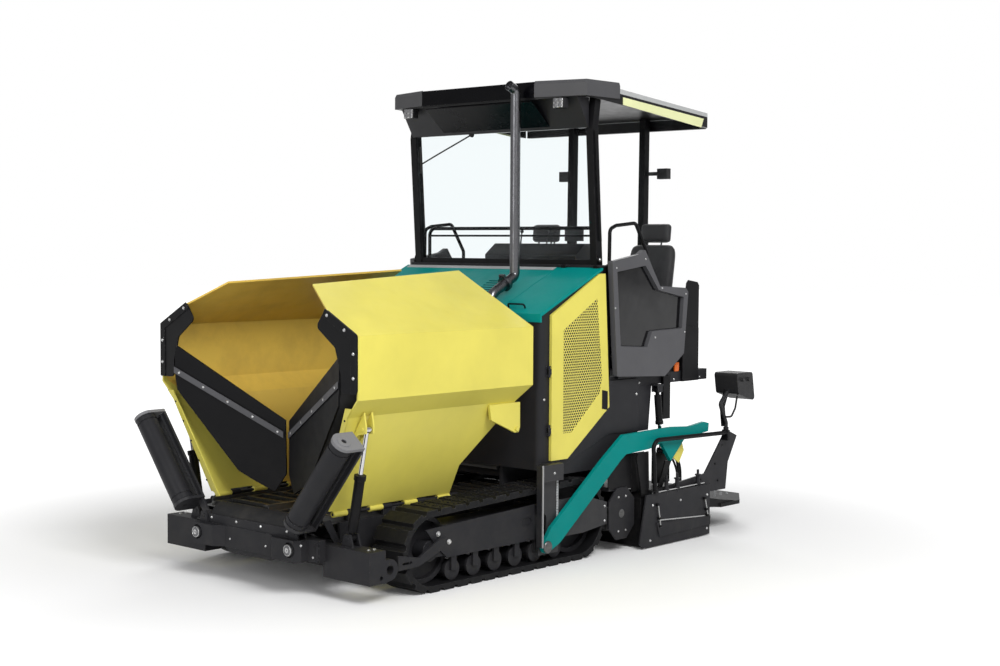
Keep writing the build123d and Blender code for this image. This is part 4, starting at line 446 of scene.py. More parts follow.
def above_hood(f, lift):
    """How far a point lies above the hood's sloping sheet, less a lift."""
    station, height = HOOD_FOOT[0] * 0.001, HOOD_FOOT[1] * 0.001
    return f.line((0, -HOOD_SLOPE, 1.0), HOOD_SLOPE * (station + STATION_ZERO) - height - lift)


def louvre_shade(f):
    """Painted shade: the bottoms of the slots, which lie under the hood's sheet."""
    x0, x1, lowest = LOUVRES
    inner = f.both(f.above(f.axes()[0], x0), f.below(f.axes()[0], x1))
    return f.both(inner, f.below(above_hood(f, -0.003), 0.0), f.above(f.axes()[2], lowest))


def hood_edge(f):
    """What stands above the hood's sheet."""
    return f.both(f.above(above_hood(f, 0.004), 0.0), f.above(f.axes()[2], HOOD_LOWEST))


def door_holes(f):
    """Punched holes over the door's sunken field, filled with painted shade of the space behind them."""
    y, z = f.axes()[1], f.axes()[2]
    return f.both(f.within(DOOR_MESH), f.holes(y, z, MESH_PITCH, MESH_HOLE))


def door_front(f):
    """The strip at the door's front edge."""
    return f.below(f.station(), DOOR_FRONT)


def roof_top(f):
    """The moulded top and rim of the roof, which face up or sideways over the coloured line."""
    station, height, slope = ROOF_LINE
    over_line = f.line((0, slope, 1.0), -height - slope * (station + STATION_ZERO))
    return f.both(f.above(over_line, 0.0), f.above(f.axes(f.facing)[2], -0.3))


def roller_end(f):
    """The end caps of the push rollers, past the tube's ends along its leaning axis."""
    (x, z), (foot_x, foot_z) = ROLLER_AXIS, ROLLER_FOOT
    along_axis = f.math("MULTIPLY_ADD", f.outside(), x, f.math("MULTIPLY", f.axes()[2], z))
    return f.above(along_axis, x * foot_x + z * foot_z + ROLLER_LENGTH)


def column_highlight(f):
    """A painted highlight: the pale front edge of the tow column."""
    return f.both(f.below(f.station(), COLUMN_HIGHLIGHT[0]), f.above(f.outside(), COLUMN_HIGHLIGHT[1]))


PAINTS = {
    # on the wings, the ochre of the inner faces is painted shade; the brown smears are old asphalt
    "wing_yellow": dict(colour=YELLOW, rough=0.36, chips=0.3, dust=0.10,
                        zones=((hopper_inside, INNER_FACE_SHADE), (grime, SMEAR))),
    # on the door, the dark of the punched holes is painted shade
    "door_yellow": dict(colour=YELLOW, rough=0.36, chips=0.2, dust=0.06,
                        zones=((door_holes, HOLE_SHADE), (door_front, BLACK))),
    # on the teal, the black at the bottoms of the louvre slots is painted shade
    "body_teal": dict(colour=TEAL, rough=0.40, chips=0.25, dust=0.04, gloss=0.08,
                      zones=((louvre_shade, BLACK), (hood_edge, BLACK))),
    "charcoal_paint": dict(colour=CHARCOAL, rough=0.45, chips=0.5, dust=0.06, gloss=0.15),
    "black_paint": dict(colour=BLACK, rough=0.42, chips=0.45, dust=0.05, gloss=0.12),
    "gloss_black": dict(colour=(0.002, 0.002, 0.003), rough=0.25, peel=0.01, gloss=0.12),
    "cap_plastic": dict(colour=CAP_GREY, rough=0.5, peel=0.1),
}
SPECIAL_PAINTS = {
    "roller_carrier": dict(colour=CHARCOAL, rough=0.45, chips=0.5, dust=0.08,
                           zones=((roller_end, (0.20, 0.20, 0.21)),)),
    "roof_shell": dict(colour=BLACK, rough=0.35, peel=0.03, zones=((roof_top, RIM_GREY),)),
    "side_console": dict(colour=(0.085, 0.085, 0.092), rough=0.5, chips=0.3, dust=0.05),
    "lime_stripe": dict(colour=(0.84, 0.87, 0.48), rough=0.35),
    "header_panel": dict(colour=(0.013, 0.013, 0.016), rough=0.5),
    "walk_top": dict(colour=(0.40, 0.41, 0.42), rough=0.45, chips=0.3, dust=0.05),
    "plain_yellow": dict(colour=YELLOW, rough=0.4, chips=0.3, dust=0.05),
    # on the tow column, the pale front strip is a painted highlight
    "tow_column": dict(colour=CHARCOAL, rough=0.45, chips=0.5, dust=0.08,
                       zones=((column_highlight, (0.35, 0.35, 0.36)),)),
    "smoked_pane": dict(colour=(0.005, 0.005, 0.006), rough=0.10, peel=0.0),
    "lamp_lens": dict(colour=(0.16, 0.16, 0.17), rough=0.10, peel=0.0, gloss=0.6),
    "screen_glass": dict(colour=(0.010, 0.013, 0.016), rough=0.08, peel=0.0, gloss=0.5),
}
finishes = {name: paint(name, **values) for name, values in PAINTS.items()}
special = {name: paint(name, **values) for name, values in SPECIAL_PAINTS.items()}
print("paints", len(finishes) + len(special))

# %% [markdown]
# Metal without paint: the conveyor and the hopper floor are scoured by stone, the exhaust is dull plated
# tube, and cylinder rods are hard chrome. Cast track shoes are nearly black, and their corners are
# painted bright: partly worn bright, partly a painted highlight.

# %% Bare metals


def steel(name, colour, rough=0.35, scratch=(1, 1, 1), metal=1.0, dust=0.2):
    """Metal whose roughness is streaked by stretched noise, with dust on top."""
    f = Finish(name)
    streak = f.noise(90, 4, 0.6, stretch=scratch)
    dusty = f.math("MULTIPLY", f.ramp(f.noise(5, 5, 0.6), 0.45, 0.75), dust)
    tone = f.blend(f.ramp(streak, 0.35, 0.7), colour, tuple(c * 0.7 for c in colour))
    f.edges(0.002)
    f.use("Base Color", f.blend(dusty, tone, DUST))
    f.use("Roughness", f.ramp(streak, 0.3, 0.75, rough - 0.08, rough + 0.15))
    f.set(Metallic=metal)
    f.bump(streak, 0.15, 0.001)
    return f.material


def chrome(name):
    """Bright hard chrome with a trace of oil streaks along the rod."""
    f = Finish(name)
    film = f.noise(20, 3, 0.5, stretch=(1, 1, 0.15))
    f.use("Roughness", f.ramp(film, 0.4, 0.8, 0.06, 0.2))
    f.set(Base_Color=(0.62, 0.62, 0.64), Metallic=1.0)
    return f.material


def cast(name, colour, rough=0.6):
    """Rough casting: dark skin, corners painted bright as wear and as a highlight, and dust in patches."""
    f = Finish(name)
    # wear and painted highlight: the corners go over to a pale grey
    wear_and_highlight = f.both(f.edges(0.004), f.ramp(f.noise(30, 4), 0.4, 0.6))
    tone = f.blend(f.math("MULTIPLY", wear_and_highlight, 0.6), colour, (0.20, 0.20, 0.20))
    dusty = f.math("MULTIPLY", f.ramp(f.noise(7, 6, 0.7), 0.5, 0.75), 0.03)
    f.use("Base Color", f.blend(dusty, tone, DUST))
    f.use("Roughness", f.ramp(f.noise(25, 4), 0.3, 0.7, rough - 0.1, rough + 0.1))
    f.set(Specular_IOR_Level=0.2)
    f.bump(f.noise(120, 5, 0.7), 0.3, 0.002)
    return f.material


finishes |= {
    "worn_steel": steel("worn_steel", (0.17, 0.17, 0.17), 0.42, (1, 0.2, 1), dust=0.06),
    "exhaust_steel": steel("exhaust_steel", (0.17, 0.17, 0.18), 0.28, (1, 1, 0.15), dust=0.03),
    "chromed_rod": chrome("chromed_rod"),
    "cast_grey": cast("cast_grey", (0.12, 0.12, 0.12)),
    "track_steel": cast("track_steel", (0.007, 0.007, 0.008)),
}
special["zinc_bolt"] = steel("zinc_bolt", (0.62, 0.62, 0.62), 0.28, metal=0.9, dust=0.05)
special["bright_steel"] = steel("bright_steel", (0.5, 0.5, 0.5), 0.25, metal=1.0, dust=0.05)
print("metals ready")

# %% [markdown]
# Rubber, moulded plastic, seat covers and glass are what a hand meets. Rubber is matt with a bloom of
# dust, plastic has a spark-eroded grain, and the seat cover a leather-like one. The windscreen is clear.

# %% Rubber, plastic, covers and glass


def grained(name, colour, rough, grain, depth, sheen=0.0, dust=0.1):
    """Matt skin with a fine cell grain of a given size."""
    f = Finish(name)
    cells = f.node("ShaderNodeTexVoronoi", feature="DISTANCE_TO_EDGE")
    cells.inputs["Scale"].default_value = grain
    f.link(f.place, cells.inputs["Vector"])
    dusty = f.math("MULTIPLY", f.ramp(f.noise(6, 5, 0.6), 0.45, 0.75), dust)
    f.edges(0.003)
    tone = f.blend(f.ramp(f.noise(3, 4), 0.3, 0.7), colour, tuple(c * 0.8 for c in colour))
    f.use("Base Color", f.blend(dusty, tone, DUST))
    f.use("Roughness", f.ramp(f.noise(14, 3), 0.3, 0.7, rough - 0.06, rough + 0.06))
    f.set(Sheen_Weight=sheen, Specular_IOR_Level=0.35)
    f.bump(f.ramp(cells.outputs["Distance"], 0.0, 0.25), depth, 0.001)
    return f.material


def glass(name, tint):
    """Flat glass that lets the background through and keeps a thin gloss."""
    f = Finish(name)
    f.use("Roughness", f.ramp(f.noise(scale=5, detail=4), 0.4, 0.8, 0.01, 0.04))
    f.set(Base_Color=tint, Transmission_Weight=1.0, IOR=1.12)
    return f.material


finishes |= {
    "black_rubber": grained("black_rubber", (0.014, 0.014, 0.015), 0.7, 300, 0.15, dust=0.10),
    "seat_cover": grained("seat_cover", (0.020, 0.020, 0.022), 0.55, 420, 0.25, sheen=0.2, dust=0.02),
    "dark_plastic": grained("dark_plastic", (0.018, 0.018, 0.020), 0.5, 700, 0.12, dust=0.03),
    "clear_glass": glass("clear_glass", (0.91, 0.965, 0.975)),
}
special["amber_lens"] = grained("amber_lens", (0.85, 0.16, 0.01), 0.25, 200, 0.05, dust=0.0)

SPECIAL_NODES = {
    "roller_carrier_left": "roller_carrier",
    "roller_carrier_right": "roller_carrier",
    "roof_shell": "roof_shell",
    "side_consoles": "side_console",
    "tow_columns": "tow_column",
}
for part in frame["record"]["subparts"]:
    mesh = nodes[part["node"]].data
    mesh.materials.clear()
    own = SPECIAL_NODES.get(part["node"])
    mesh.materials.append(special[own] if own else finishes[part["material_slot"]])
print("finishes", len(finishes) + len(special))

# %% [markdown]
# The small hardware is worked out with numpy. A turned piece is a profile carried round an axis, a bent
# tube is a circle carried along a smooth path, and a sheet is an outline with a thickness. A shape that
# is needed many times is made once at unit size and then spread: every copy is its own place plus its
# size times the shape's points along the copy's own three axes.

# %% Shapes as arrays


def place(rows):
    """Rows of x, station and height in millimetres, as points in metres in the shared frame."""
    return np.asarray(rows, float).reshape(-1, 3) * 0.001 + (0.0, STATION_ZERO, 0.0)


def grid_faces(rows, columns, closed=True):
    """Quads between neighbouring rows and columns; closed joins the last column to the first."""
    r = np.arange(rows - 1)[:, None]
    c = np.arange(columns if closed else columns - 1)[None, :]
    n = (c + 1) % columns
    quads = np.stack([r * columns + c, r * columns + n, (r + 1) * columns + n, (r + 1) * columns + c], -1)
    return quads.reshape(-1, 4)


def lathe(profile, sides):
    """Runs along Z and radii, carried round Z: x and y are the radius times the cosine and sine."""
    run, radius = np.asarray(profile, float).T
    turn = 2 * np.pi * np.arange(sides) / sides
    x, y = radius[:, None] * np.cos(turn), radius[:, None] * np.sin(turn)
    return np.stack([x, y, run[:, None] + 0 * turn], -1).reshape(-1, 3), grid_faces(len(run), sides)


def together(*shapes):
    """Several shapes as one: their points in a row, their faces counted on."""
    starts = np.cumsum([0] + [len(points) for points, faces in shapes[:-1]])
    return np.concatenate([s[0] for s in shapes]), np.concatenate([s[1] + k for s, k in zip(shapes, starts)])


def spread(shape, places, directions, sizes=1.0):
    """Copies of a shape: each point is the copy's place plus its size times the point along its own axes."""
    points, faces = shape
    places = np.asarray(places, float).reshape(-1, 3)
    out = np.asarray(directions, float).reshape(-1, 3) * np.ones((len(places), 1))
    out = out / np.linalg.norm(out, axis=1, keepdims=True)
    helper = np.where(np.abs(out[:, 2:]) < 0.9, (0.0, 0.0, 1.0), (1.0, 0.0, 0.0))
    across = np.cross(helper, out)
    across /= np.linalg.norm(across, axis=1, keepdims=True)
    own = np.stack([across, np.cross(out, across), out], 1)
    size = np.asarray(sizes, float).reshape(-1, 1, 1)
    moved = places[:, None, :] + size * np.einsum("vk,nkc->nvc", points, own)
    steps = np.arange(len(places))[:, None, None] * len(points)
    return moved.reshape(-1, 3), (faces[None] + steps).reshape(-1, faces.shape[1])


def skin(rings):
    """A closed hull over rings of points: faces between neighbouring rings and one over each end."""
    rings = np.asarray(rings, float)
    count, columns = rings.shape[:2]
    faces = grid_faces(count, columns).tolist()
    faces += [list(range(columns))[::-1], [(count - 1) * columns + k for k in range(columns)]]
    return rings.reshape(-1, 3), faces


def sheet_x(outline, x0, x1):
    """An outline of stations and heights, given a thickness from x0 to x1, all in millimetres."""
    rows = [[(x, s, z) for s, z in outline] for x in (x0, x1)]
    return skin(place(rows).reshape(2, -1, 3))


def smooth_path(points, steps=8):
    """A cubic B-spline: each stretch is four neighbouring points times the blending cubics, ends tripled."""
    p = np.asarray(points, float)
    p = np.concatenate([p[:1], p[:1], p, p[-1:], p[-1:]])
    t = np.linspace(0, 1, steps, endpoint=False)[:, None]
    weights = ((1 - t) ** 3, 3 * t**3 - 6 * t**2 + 4, -3 * t**3 + 3 * t**2 + 3 * t + 1, t**3)
    runs = [sum(w * q for w, q in zip(weights, p[k : k + 4])) / 6 for k in range(len(p) - 3)]
    return np.concatenate(runs + [p[-1:]])


def tube(path, radius, sides=10):
    """A circle carried along a path, its plane square to the path at every point."""
    path = np.asarray(path, float)
    along = np.gradient(path, axis=0)
    along /= np.linalg.norm(along, axis=1, keepdims=True)
    helper = np.eye(3)[np.argmin(np.abs(along).max(0))]
    across = np.cross(along, helper)
    across /= np.linalg.norm(across, axis=1, keepdims=True)
    third = np.cross(along, across)
    turn = 2 * np.pi * np.arange(sides) / sides
    ring = across[:, None] * np.cos(turn)[None, :, None] + third[:, None] * np.sin(turn)[None, :, None]
    return skin(path[:, None] + radius * ring)


def rounded_box(centre, half, radius, steps=3):
    """Corner of an inner box plus the radius times a unit direction, the directions run over a sphere."""
    quarter = np.linspace(0, np.pi / 2, steps + 1)
    turn = np.concatenate([quarter + k * np.pi / 2 for k in range(4)])
    sign_x = np.repeat([1, -1, -1, 1], steps + 1)
    sign_y = np.repeat([1, 1, -1, -1], steps + 1)
    rise = np.concatenate([quarter - np.pi / 2, quarter])[:, None]
    sign_z = np.repeat([-1, 1], steps + 1)[:, None]
    inner = np.asarray(half, float) - radius
    x = radius * np.cos(rise) * np.cos(turn) + inner[0] * sign_x
    y = radius * np.cos(rise) * np.sin(turn) + inner[1] * sign_y
    z = radius * np.sin(rise) + inner[2] * sign_z + 0 * turn
    return skin(np.stack([x, y, z], -1) + np.asarray(centre, float))


def box_mm(x0, x1, s0, s1, z0, z1, radius=4.0):
    """A block with rounded edges between two corners in millimetres."""
    low, high = place([(x0, s0, z0), (x1, s1, z1)])
    return rounded_box((low + high) / 2, np.abs(high - low) / 2, radius * 0.001)


def piece(name, body, slot, shapes, finish=None, angle=35.0):
    """One object from several shapes, its doubles merged, its faces turned outwards, riding on its body."""
    points, faces, start = [], [], 0
    for shape_points, shape_faces in shapes:
        points.append(shape_points)
        if isinstance(shape_faces, np.ndarray):
            faces += (shape_faces + start).tolist()
        else:
            faces += [[start + corner for corner in face] for face in shape_faces]
        start += len(shape_points)
    mesh = bpy.data.meshes.new(name)
    mesh.from_pydata(np.concatenate(points).tolist(), [], faces)
    work = bmesh.new()
    work.from_mesh(mesh)
    bmesh.ops.remove_doubles(work, verts=work.verts, dist=1e-6)
    bmesh.ops.dissolve_degenerate(work, edges=work.edges, dist=1e-6)
    bmesh.ops.recalc_face_normals(work, faces=work.faces)
    work.to_mesh(mesh)
    work.free()
    mesh.shade_smooth()
    mesh.set_sharp_from_angle(angle=math.radians(angle))
    made = bpy.data.objects.new(name, mesh)
    scene.collection.objects.link(made)
    mesh.materials.append(special[finish] if finish else finishes[slot])
    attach(made, body)
    return made


SIDES = ((1, "left"), (-1, "right"))


def over(shape, side):
    """A shape as it is, or seen in a mirror through the machine's middle plane."""
    points, faces = shape
    return points * (side, 1, 1), faces


def mirrored_sheets(rows):
    """Sheets on both sides, from rows of name, body, slot, finish, outline and the two x between them."""
    for name, body, slot, finish, outline, x0, x1 in rows:
        for side, label in SIDES:
            piece(f"{name}_{label}", body, slot, [over(sheet_x(outline, x0, x1), side)], finish)


print("shapes ready")

# %% [markdown]
# Bolts are what tells the size of such a machine. Each row of the tables says what the bolts hold, and a
# ray is sent from each bolt's place towards that sheet, so every head sits on the true surface and turns
# square to it. Most heads are bright zinc, and those on the yellow sheets and the screed's brackets are
# black.

# %% Bolts
BACK, INWARD, DOWNWARD = (0, 1, 0), (-1, 0, 0), (0, 0, -1)
WASHER = lathe([(0, 0), (0, 1.25), (0.18, 1.25), (0.18, 0)], 12)
HEAD = lathe([(0.17, 0), (0.17, 1.0), (0.66, 1.0), (0.80, 0.8), (0.80, 0)], 6)
BOLT = together(WASHER, HEAD)
FLAP_CORNER = (870, -70, 0)
FLAP_RUN = (-0.942, 0.336, 0.0)
FLAP_BACK = (0.336, 0.942, 0.0)
RAY_REACH = 0.9


def along(a, b, shares):
    """Points at shares of the way from a to b."""
    a, b = np.asarray(a, float), np.asarray(b, float)
    return a + np.asarray(shares, float)[:, None] * (b - a)


def on_flap(rows, stand_off=150.0):
    """Runs along the hopper's leaning flap and heights, as points a little in front of it."""
    rows = np.asarray(rows, float)
    run = np.array(FLAP_RUN) * rows[:, :1]
    lifted = np.column_stack([0 * rows[:, 1], 0 * rows[:, 1], rows[:, 1]])
    return FLAP_CORNER + run + lifted - np.array(FLAP_BACK) * stand_off


BOLT_ROWS = (
    # node, body, finish, size, direction of the ray, places as x, station and height
    ("wing_edge_left", "left_wing", "zinc_bolt", 9.0, BACK,
     along((1009, -300, 1728), (1009, -300, 1368), (0.286, 0.717))),
    ("wing_edge_left", "left_wing", "zinc_bolt", 9.0, BACK,
     along((723, -300, 1880), (1009, -300, 1728), (0.12, 0.70))),
    ("wing_edge_left", "left_wing", "zinc_bolt", 9.5, FLAP_BACK,
     on_flap(along((6, 1416), (880, 1004), (0.04, 0.27, 0.5, 0.73, 0.96)))),
    ("hopper_wing_left", "left_wing", "black_paint", 6.0, BACK,
     along((895, -300, 1190), (660, -300, 640), (0.0, 0.25, 0.5, 0.75, 1.0))),
    ("push_beam", "chassis", "zinc_bolt", 8.0, BACK, [(400, -400, 424), (130, -400, 424)]),
    ("push_beam", "chassis", "zinc_bolt", 6.5, BACK, [(190, -400, 300), (560, -400, 352), (600, -400, 270)]),
    ("push_beam", "chassis", "zinc_bolt", 11.0, DOWNWARD, [(1000, 60, 500), (1000, 110, 500)]),
)
SIDE_BOLT_ROWS = (
    # node, body, finish, size, x that the inward ray starts from, stations and heights
    ("track_frames", "chassis", "zinc_bolt", 15.0, 1200, [(659, 386), (764, 320)]),
    ("tow_columns", "chassis", "zinc_bolt", 8.0, 1300, [(2398, 372), (2398, 262), (1760, 690)]),
    ("body_shell", "chassis", "zinc_bolt", 8.0, 1300, [(1755, 1210), (2840, 1180)]),
    ("side_consoles", "chassis", "zinc_bolt", 6.0, 1300,
     [(2512, 2150), (2868, 2215), (3085, 1990), (3398, 1940), (3386, 1640), (2500, 1850), (3000, 1610)]),
    ("end_gates", "screed", "zinc_bolt", 8.0, 1400,
     [(2850, 60), (2880, 330), (3600, 60), (3600, 330), (3240, 330)]),
    ("screed_brackets", "screed", "black_paint", 8.0, 1400,
     [(3000, 400), (3560, 455), (3760, 560), (3860, 700), (3800, 420)]),
    ("canopy_frame", "chassis", "zinc_bolt", 11.0, 1300, [(2440, 2210)]),
    ("auger_housing", "chassis", "zinc_bolt", 7.0, 1300,
     [(2560, 420), (2560, 160), (2650, 420), (2650, 160)]),
    ("platform", "chassis", "zinc_bolt", 7.0, 1300, [(2900, 1262), (3350, 1262), (3700, 1262)]),
)


def surface_under(node, start, direction):
    """Where a ray first meets a sheet and the way the sheet faces there, or nothing."""
    found, where, facing, _ = nodes[node].ray_cast(Vector(start), Vector(direction), distance=RAY_REACH)
    return (tuple(where), tuple(facing)) if found else None


def face_x(node, side, station, height):
    """How far out a node's outer face lies at a station and height, in millimetres."""
    hit = surface_under(node, place([(side * 1300, station, height)])[0], Vector((-side, 0, 0)))
    return abs(hit[0][0]) * 1000


def set_bolts():
    """One piece per body and finish, its heads spread over the places that the rays found."""
    groups, missed = {}, 0
    sideways = tuple(
        (*head, INWARD, [(start, *spot) for spot in spots]) for *head, start, spots in SIDE_BOLT_ROWS
    )
    for node, body, finish, size, direction, rows in BOLT_ROWS + sideways:
        for side, label in SIDES:
            target, mover = node.replace("_left", f"_{label}"), body.replace("left_", f"{label}_")
            for start in place(rows) * (side, 1, 1):
                hit = surface_under(target, start, Vector(direction) * Vector((side, 1, 1)))
                if hit:
                    groups.setdefault((mover, finish), []).append((*hit, size * 0.001))
                else:
                    missed += 1
                    print("no sheet for a bolt on", target, np.round(start, 3))
    for (body, finish), rows in sorted(groups.items()):
        where, facing, sizes = zip(*rows)
        own = finish if finish in special else None
        slot = "chromed_rod" if own else finish
        piece(f"bolts_{body}_{finish}", body, slot, [spread(BOLT, where, facing, sizes)], own)
    print("bolts", sum(len(rows) for rows in groups.values()), "missed", missed)


bpy.context.view_layer.update()
set_bolts()

# %% [markdown]
# Work lamps have a dark housing, a bright rim and a glossy lens that bulges a little. The beam lamps sit
# in the pockets of the push beam, and the roof lamps hang under the front corners and at the rear posts.

# %% Lamps
RIM = lathe(
    [(-0.004, 0.031), (-0.004, 0.038), (0.005, 0.038), (0.007, 0.034), (0.002, 0.031), (-0.004, 0.031)], 28
)
LENS = lathe(
    [(-0.003, 0.0), (-0.003, 0.0312), (0.002, 0.0312), (0.005, 0.022), (0.0065, 0.010), (0.007, 0.0)], 28
)
REFLECTOR = lathe([(0.004, 0.010), (0.009, 0.017), (0.010, 0.013), (0.008, 0.006), (0.004, 0.010)], 20)
SMALL_LENS = lathe([(0.0, 0.0), (0.0, 0.018), (0.004, 0.016), (0.007, 0.008), (0.008, 0.0)], 16)
# the plates behind the small lenses: two x, two stations, two heights and the radius of their edges
FRONT_PLATE = (742, 833, 2154.5, 2160.5, 3332, 3401, 3)
REAR_PLATE = (486, 574, 3851, 3855, 2874, 2949, 2)
BEAM_POCKET = (489, -400, 320)


def make_lamps():
    """Beam lamps found by rays into their pockets; roof lamps as rows of small lenses on a bright plate."""
    rims, lenses = [], []
    forward, backward = (0, -1, 0), (0, 1, 0)
    for side, _ in SIDES:
        hit = surface_under("push_beam", place([BEAM_POCKET])[0] * (side, 1, 1), Vector(BACK))
        at = np.array(hit[0]) + (0, -0.004, 0)
        rims += [spread(RIM, at, forward), spread(REFLECTOR, at, forward)]
        rims += [over(box_mm(*FRONT_PLATE), side), over(box_mm(*REAR_PLATE), side)]
        front = place([(side * x, 2158, z) for x in (766, 809) for z in (3350, 3386)])
        rear = place([(side * x, 3853, 2911) for x in (506, 554)])
        lenses.append(spread(LENS, at, forward))
        lenses.append(spread(SMALL_LENS, front - (0, 0.004, 0), forward))
        lenses.append(spread(SMALL_LENS, rear + (0, 0.002, 0), backward))
    piece("lamp_rims", "chassis", "chromed_rod", rims, "zinc_bolt")
    piece("lamp_lenses", "chassis", "clear_glass", lenses, "lamp_lens")


make_lamps()
print("lamps ready")

# %% [markdown]
# The roof carries one pale band along each side under its light rim, and a dark header closes the gap
# between the roof's nose and the windscreen. A wiper is parked along the screen's right edge.

# %% Roof band, header and wiper
BAND = [(2666, 3431), (3714, 3335), (3681, 3264), (2665, 3375)]
HEADER = [(2215, 3412), (2345, 3192), (2352, 3192), (2352, 3412)]
HEADER_HALF = 925.0
WIPER_HUB = lathe([(0, 0), (0, 0.020), (0.022, 0.018), (0.026, 0.0)], 16)
WIPER_ARM = [(-273, 2350, 3186), (-420, 2352, 3130), (-640, 2358, 3050), (-838, 2366, 2975)]
WIPER_BLADE = [(-846, 2352, 3112), (-850, 2360, 3040), (-856, 2371, 2960), (-862, 2378, 2898)]


def make_roof_trim():
    """Thin sheets from outlines, and the wiper's arm and blade as bent rods before the glass."""
    mirrored_sheets([("roof_band", "chassis", "door_yellow", "lime_stripe", BAND, 997.5, 1003.0)])
    header = sheet_x(HEADER, -HEADER_HALF, HEADER_HALF)
    piece("header_panel", "chassis", "gloss_black", [header], "header_panel")
    arm, blade = smooth_path(place(WIPER_ARM)), smooth_path(place(WIPER_BLADE))
    hub = spread(WIPER_HUB, place([(-273, 2364, 3186)]), (0, -1, 0.1))
    piece("wiper", "chassis", "black_rubber", [tube(arm, 0.006), tube(blade, 0.008, 8), hub])


make_roof_trim()
print("roof trim ready")

# %% [markdown]
# A smoked pane is screwed over the sunken field of each side console, with an amber lamp below it. Dark
# sheets close the operator's place and the flank under the platform, and each door has a small blank
# plate. The hood ends in a pale strip under the screen.

# %% Consoles, sheets and hood strip
PANE = [
    (2526, 2114), (2868, 2158), (3035, 1970), (3364, 1909), (3345, 1676),
    (2956, 1666), (2896, 1546), (2576, 1566),
]
REAR_SHEET = [
    (3270, 1288), (3432, 1480), (3520, 2020), (3545, 2045), (3672, 2027), (3693, 2000), (3690, 1288),
]
SKIRT = [
    (1955, 648), (2430, 648), (2570, 742), (2725, 742), (2740, 808), (2866, 808), (2866, 960),
    (2519, 960), (1970, 770),
]
FILLER = [(2436, 1290), (2545, 1290), (2545, 2190), (2436, 2150)]
DOOR_PLATE = [(2384, 1100), (2384, 1242), (2452, 1228), (2452, 1088)]
SIDE_SHEET = [(2866, 884), (3024, 887), (3060, 1240), (2866, 1240)]
AMBER_LAMP = (993, 1012, 3350, 3408, 1322, 1396, 8)
CONSOLE_SHEETS = (
    # name, body, slot, finish, outline and the two x that the sheet lies between
    ("console_pane", "chassis", "clear_glass", "smoked_pane", PANE, 1041.0, 1045.0),
    ("rear_sheet", "chassis", "black_paint", None, REAR_SHEET, 986.0, 992.0),
    ("filler_sheet", "chassis", "black_paint", None, FILLER, 984.0, 992.0),
)


def make_side_sheets():
    """Outlines given thickness; the amber lamp is a block with rounded edges."""
    mirrored_sheets(CONSOLE_SHEETS)
    for side, label in SIDES:
        flank = [over(sheet_x(SIDE_SHEET, 986.0, 998.0), side), over(sheet_x(SKIRT, 1003.0, 1014.0), side)]
        piece(f"flank_sheet_{label}", "chassis", "charcoal_paint", flank)
        face = face_x(f"service_door_{label}", side, 2420, 1160)
        plate = over(sheet_x(DOOR_PLATE, face - 0.5, face + 1.5), side)
        piece(f"door_plate_{label}", f"{label}_door", "black_paint", [plate])
        lamp = [over(box_mm(*AMBER_LAMP), side)]
        piece(f"amber_lamp_{label}", "chassis", "clear_glass", lamp, "amber_lens")


def make_hood_strip():
    """A pale strip along the hood's upper edge, four millimetres high over its sloping sheet."""
    corners = ((2352, 0.5), (2352, 4), (2392, 4), (2392, 0.5))
    rows = [(s, HOOD_FOOT[1] + HOOD_SLOPE * (s - HOOD_FOOT[0]) + lift) for s, lift in corners]
    piece("hood_strip", "chassis", "exhaust_steel", [sheet_x(rows[::-1], -1000, 585)], "walk_top")


make_side_sheets()
make_hood_strip()
print("sheets ready")

# %% [markdown]
# Rubber side flaps close the corners between the leaning front flap and the wings, so that hot
# material can't fall past. Each runs back from the flap's outer edge to the wing's inner face. A flat
# bar lies along the row of bolts that holds the front flap.

# %% Side flaps of the hopper
FLAP_EDGE = ((1400, 0), (1330, 8), (1279, 17), (1210, 80), (1000, 273), (800, 456), (715, 534))
SEAL_T = 8.0


def wing_inner_x(z):
    """The wing's inner face at a height: upright above the bevel, then bevel, then the lower sheet."""
    return np.interp(z, (523, 1210, 1328), (614, 925, 1036)) - 14.0


def make_side_flaps():
    """Rings of four corners: flap edge, wing face, and the same two set back by the rubber's thickness."""
    z, run = np.asarray(FLAP_EDGE, float).T
    x0, s0 = 868 + FLAP_RUN[0] * run, -66 + FLAP_RUN[1] * run
    x1 = wing_inner_x(z)
    s1 = s0 + 1.1 * (x1 - x0)
    corners = [(x0, s0), (x1, s1), (x1, s1 + SEAL_T), (x0, s0 + SEAL_T)]
    rings = np.stack([np.stack([x, s, z], -1) for x, s in corners], 1)
    shape = skin(place(rings).reshape(len(z), 4, 3))
    for side, label in SIDES:
        piece(f"side_flap_{label}", f"{label}_wing", "black_rubber", [over(shape, side)])


make_side_flaps()


def make_clamp_strips():
    """A flat bar over each flap's row of bolts: four corners in the flap's plane, front and back."""
    middle = surface_under("wing_edge_left", place(on_flap([(440, 1209)]))[0], Vector(FLAP_BACK))
    depth = float(np.dot(np.array(middle[0]) - place([FLAP_CORNER])[0], FLAP_BACK)) * 1000
    ends = [(-2, 1442), (889, 1022), (889, 978), (-2, 1398)]
    front, back = on_flap(ends, 4.0 - depth), on_flap(ends, -1.0 - depth)
    shape = skin(place(np.stack([front, back])).reshape(2, 4, 3))
    for side, label in SIDES:
        piece(f"clamp_strip_{label}", f"{label}_wing", "charcoal_paint", [over(shape, side)], "side_console")


make_clamp_strips()
print("side flaps ready")

# %% [markdown]
# At the rear the lines for the screed's cylinders and heating drop behind the console in loose bends, and
# a scale tells the height of the tow point. The screed's end has its shields, a heater box with hoses
# that bow over and go down beside it, and leaning rods that adjust the end gate.

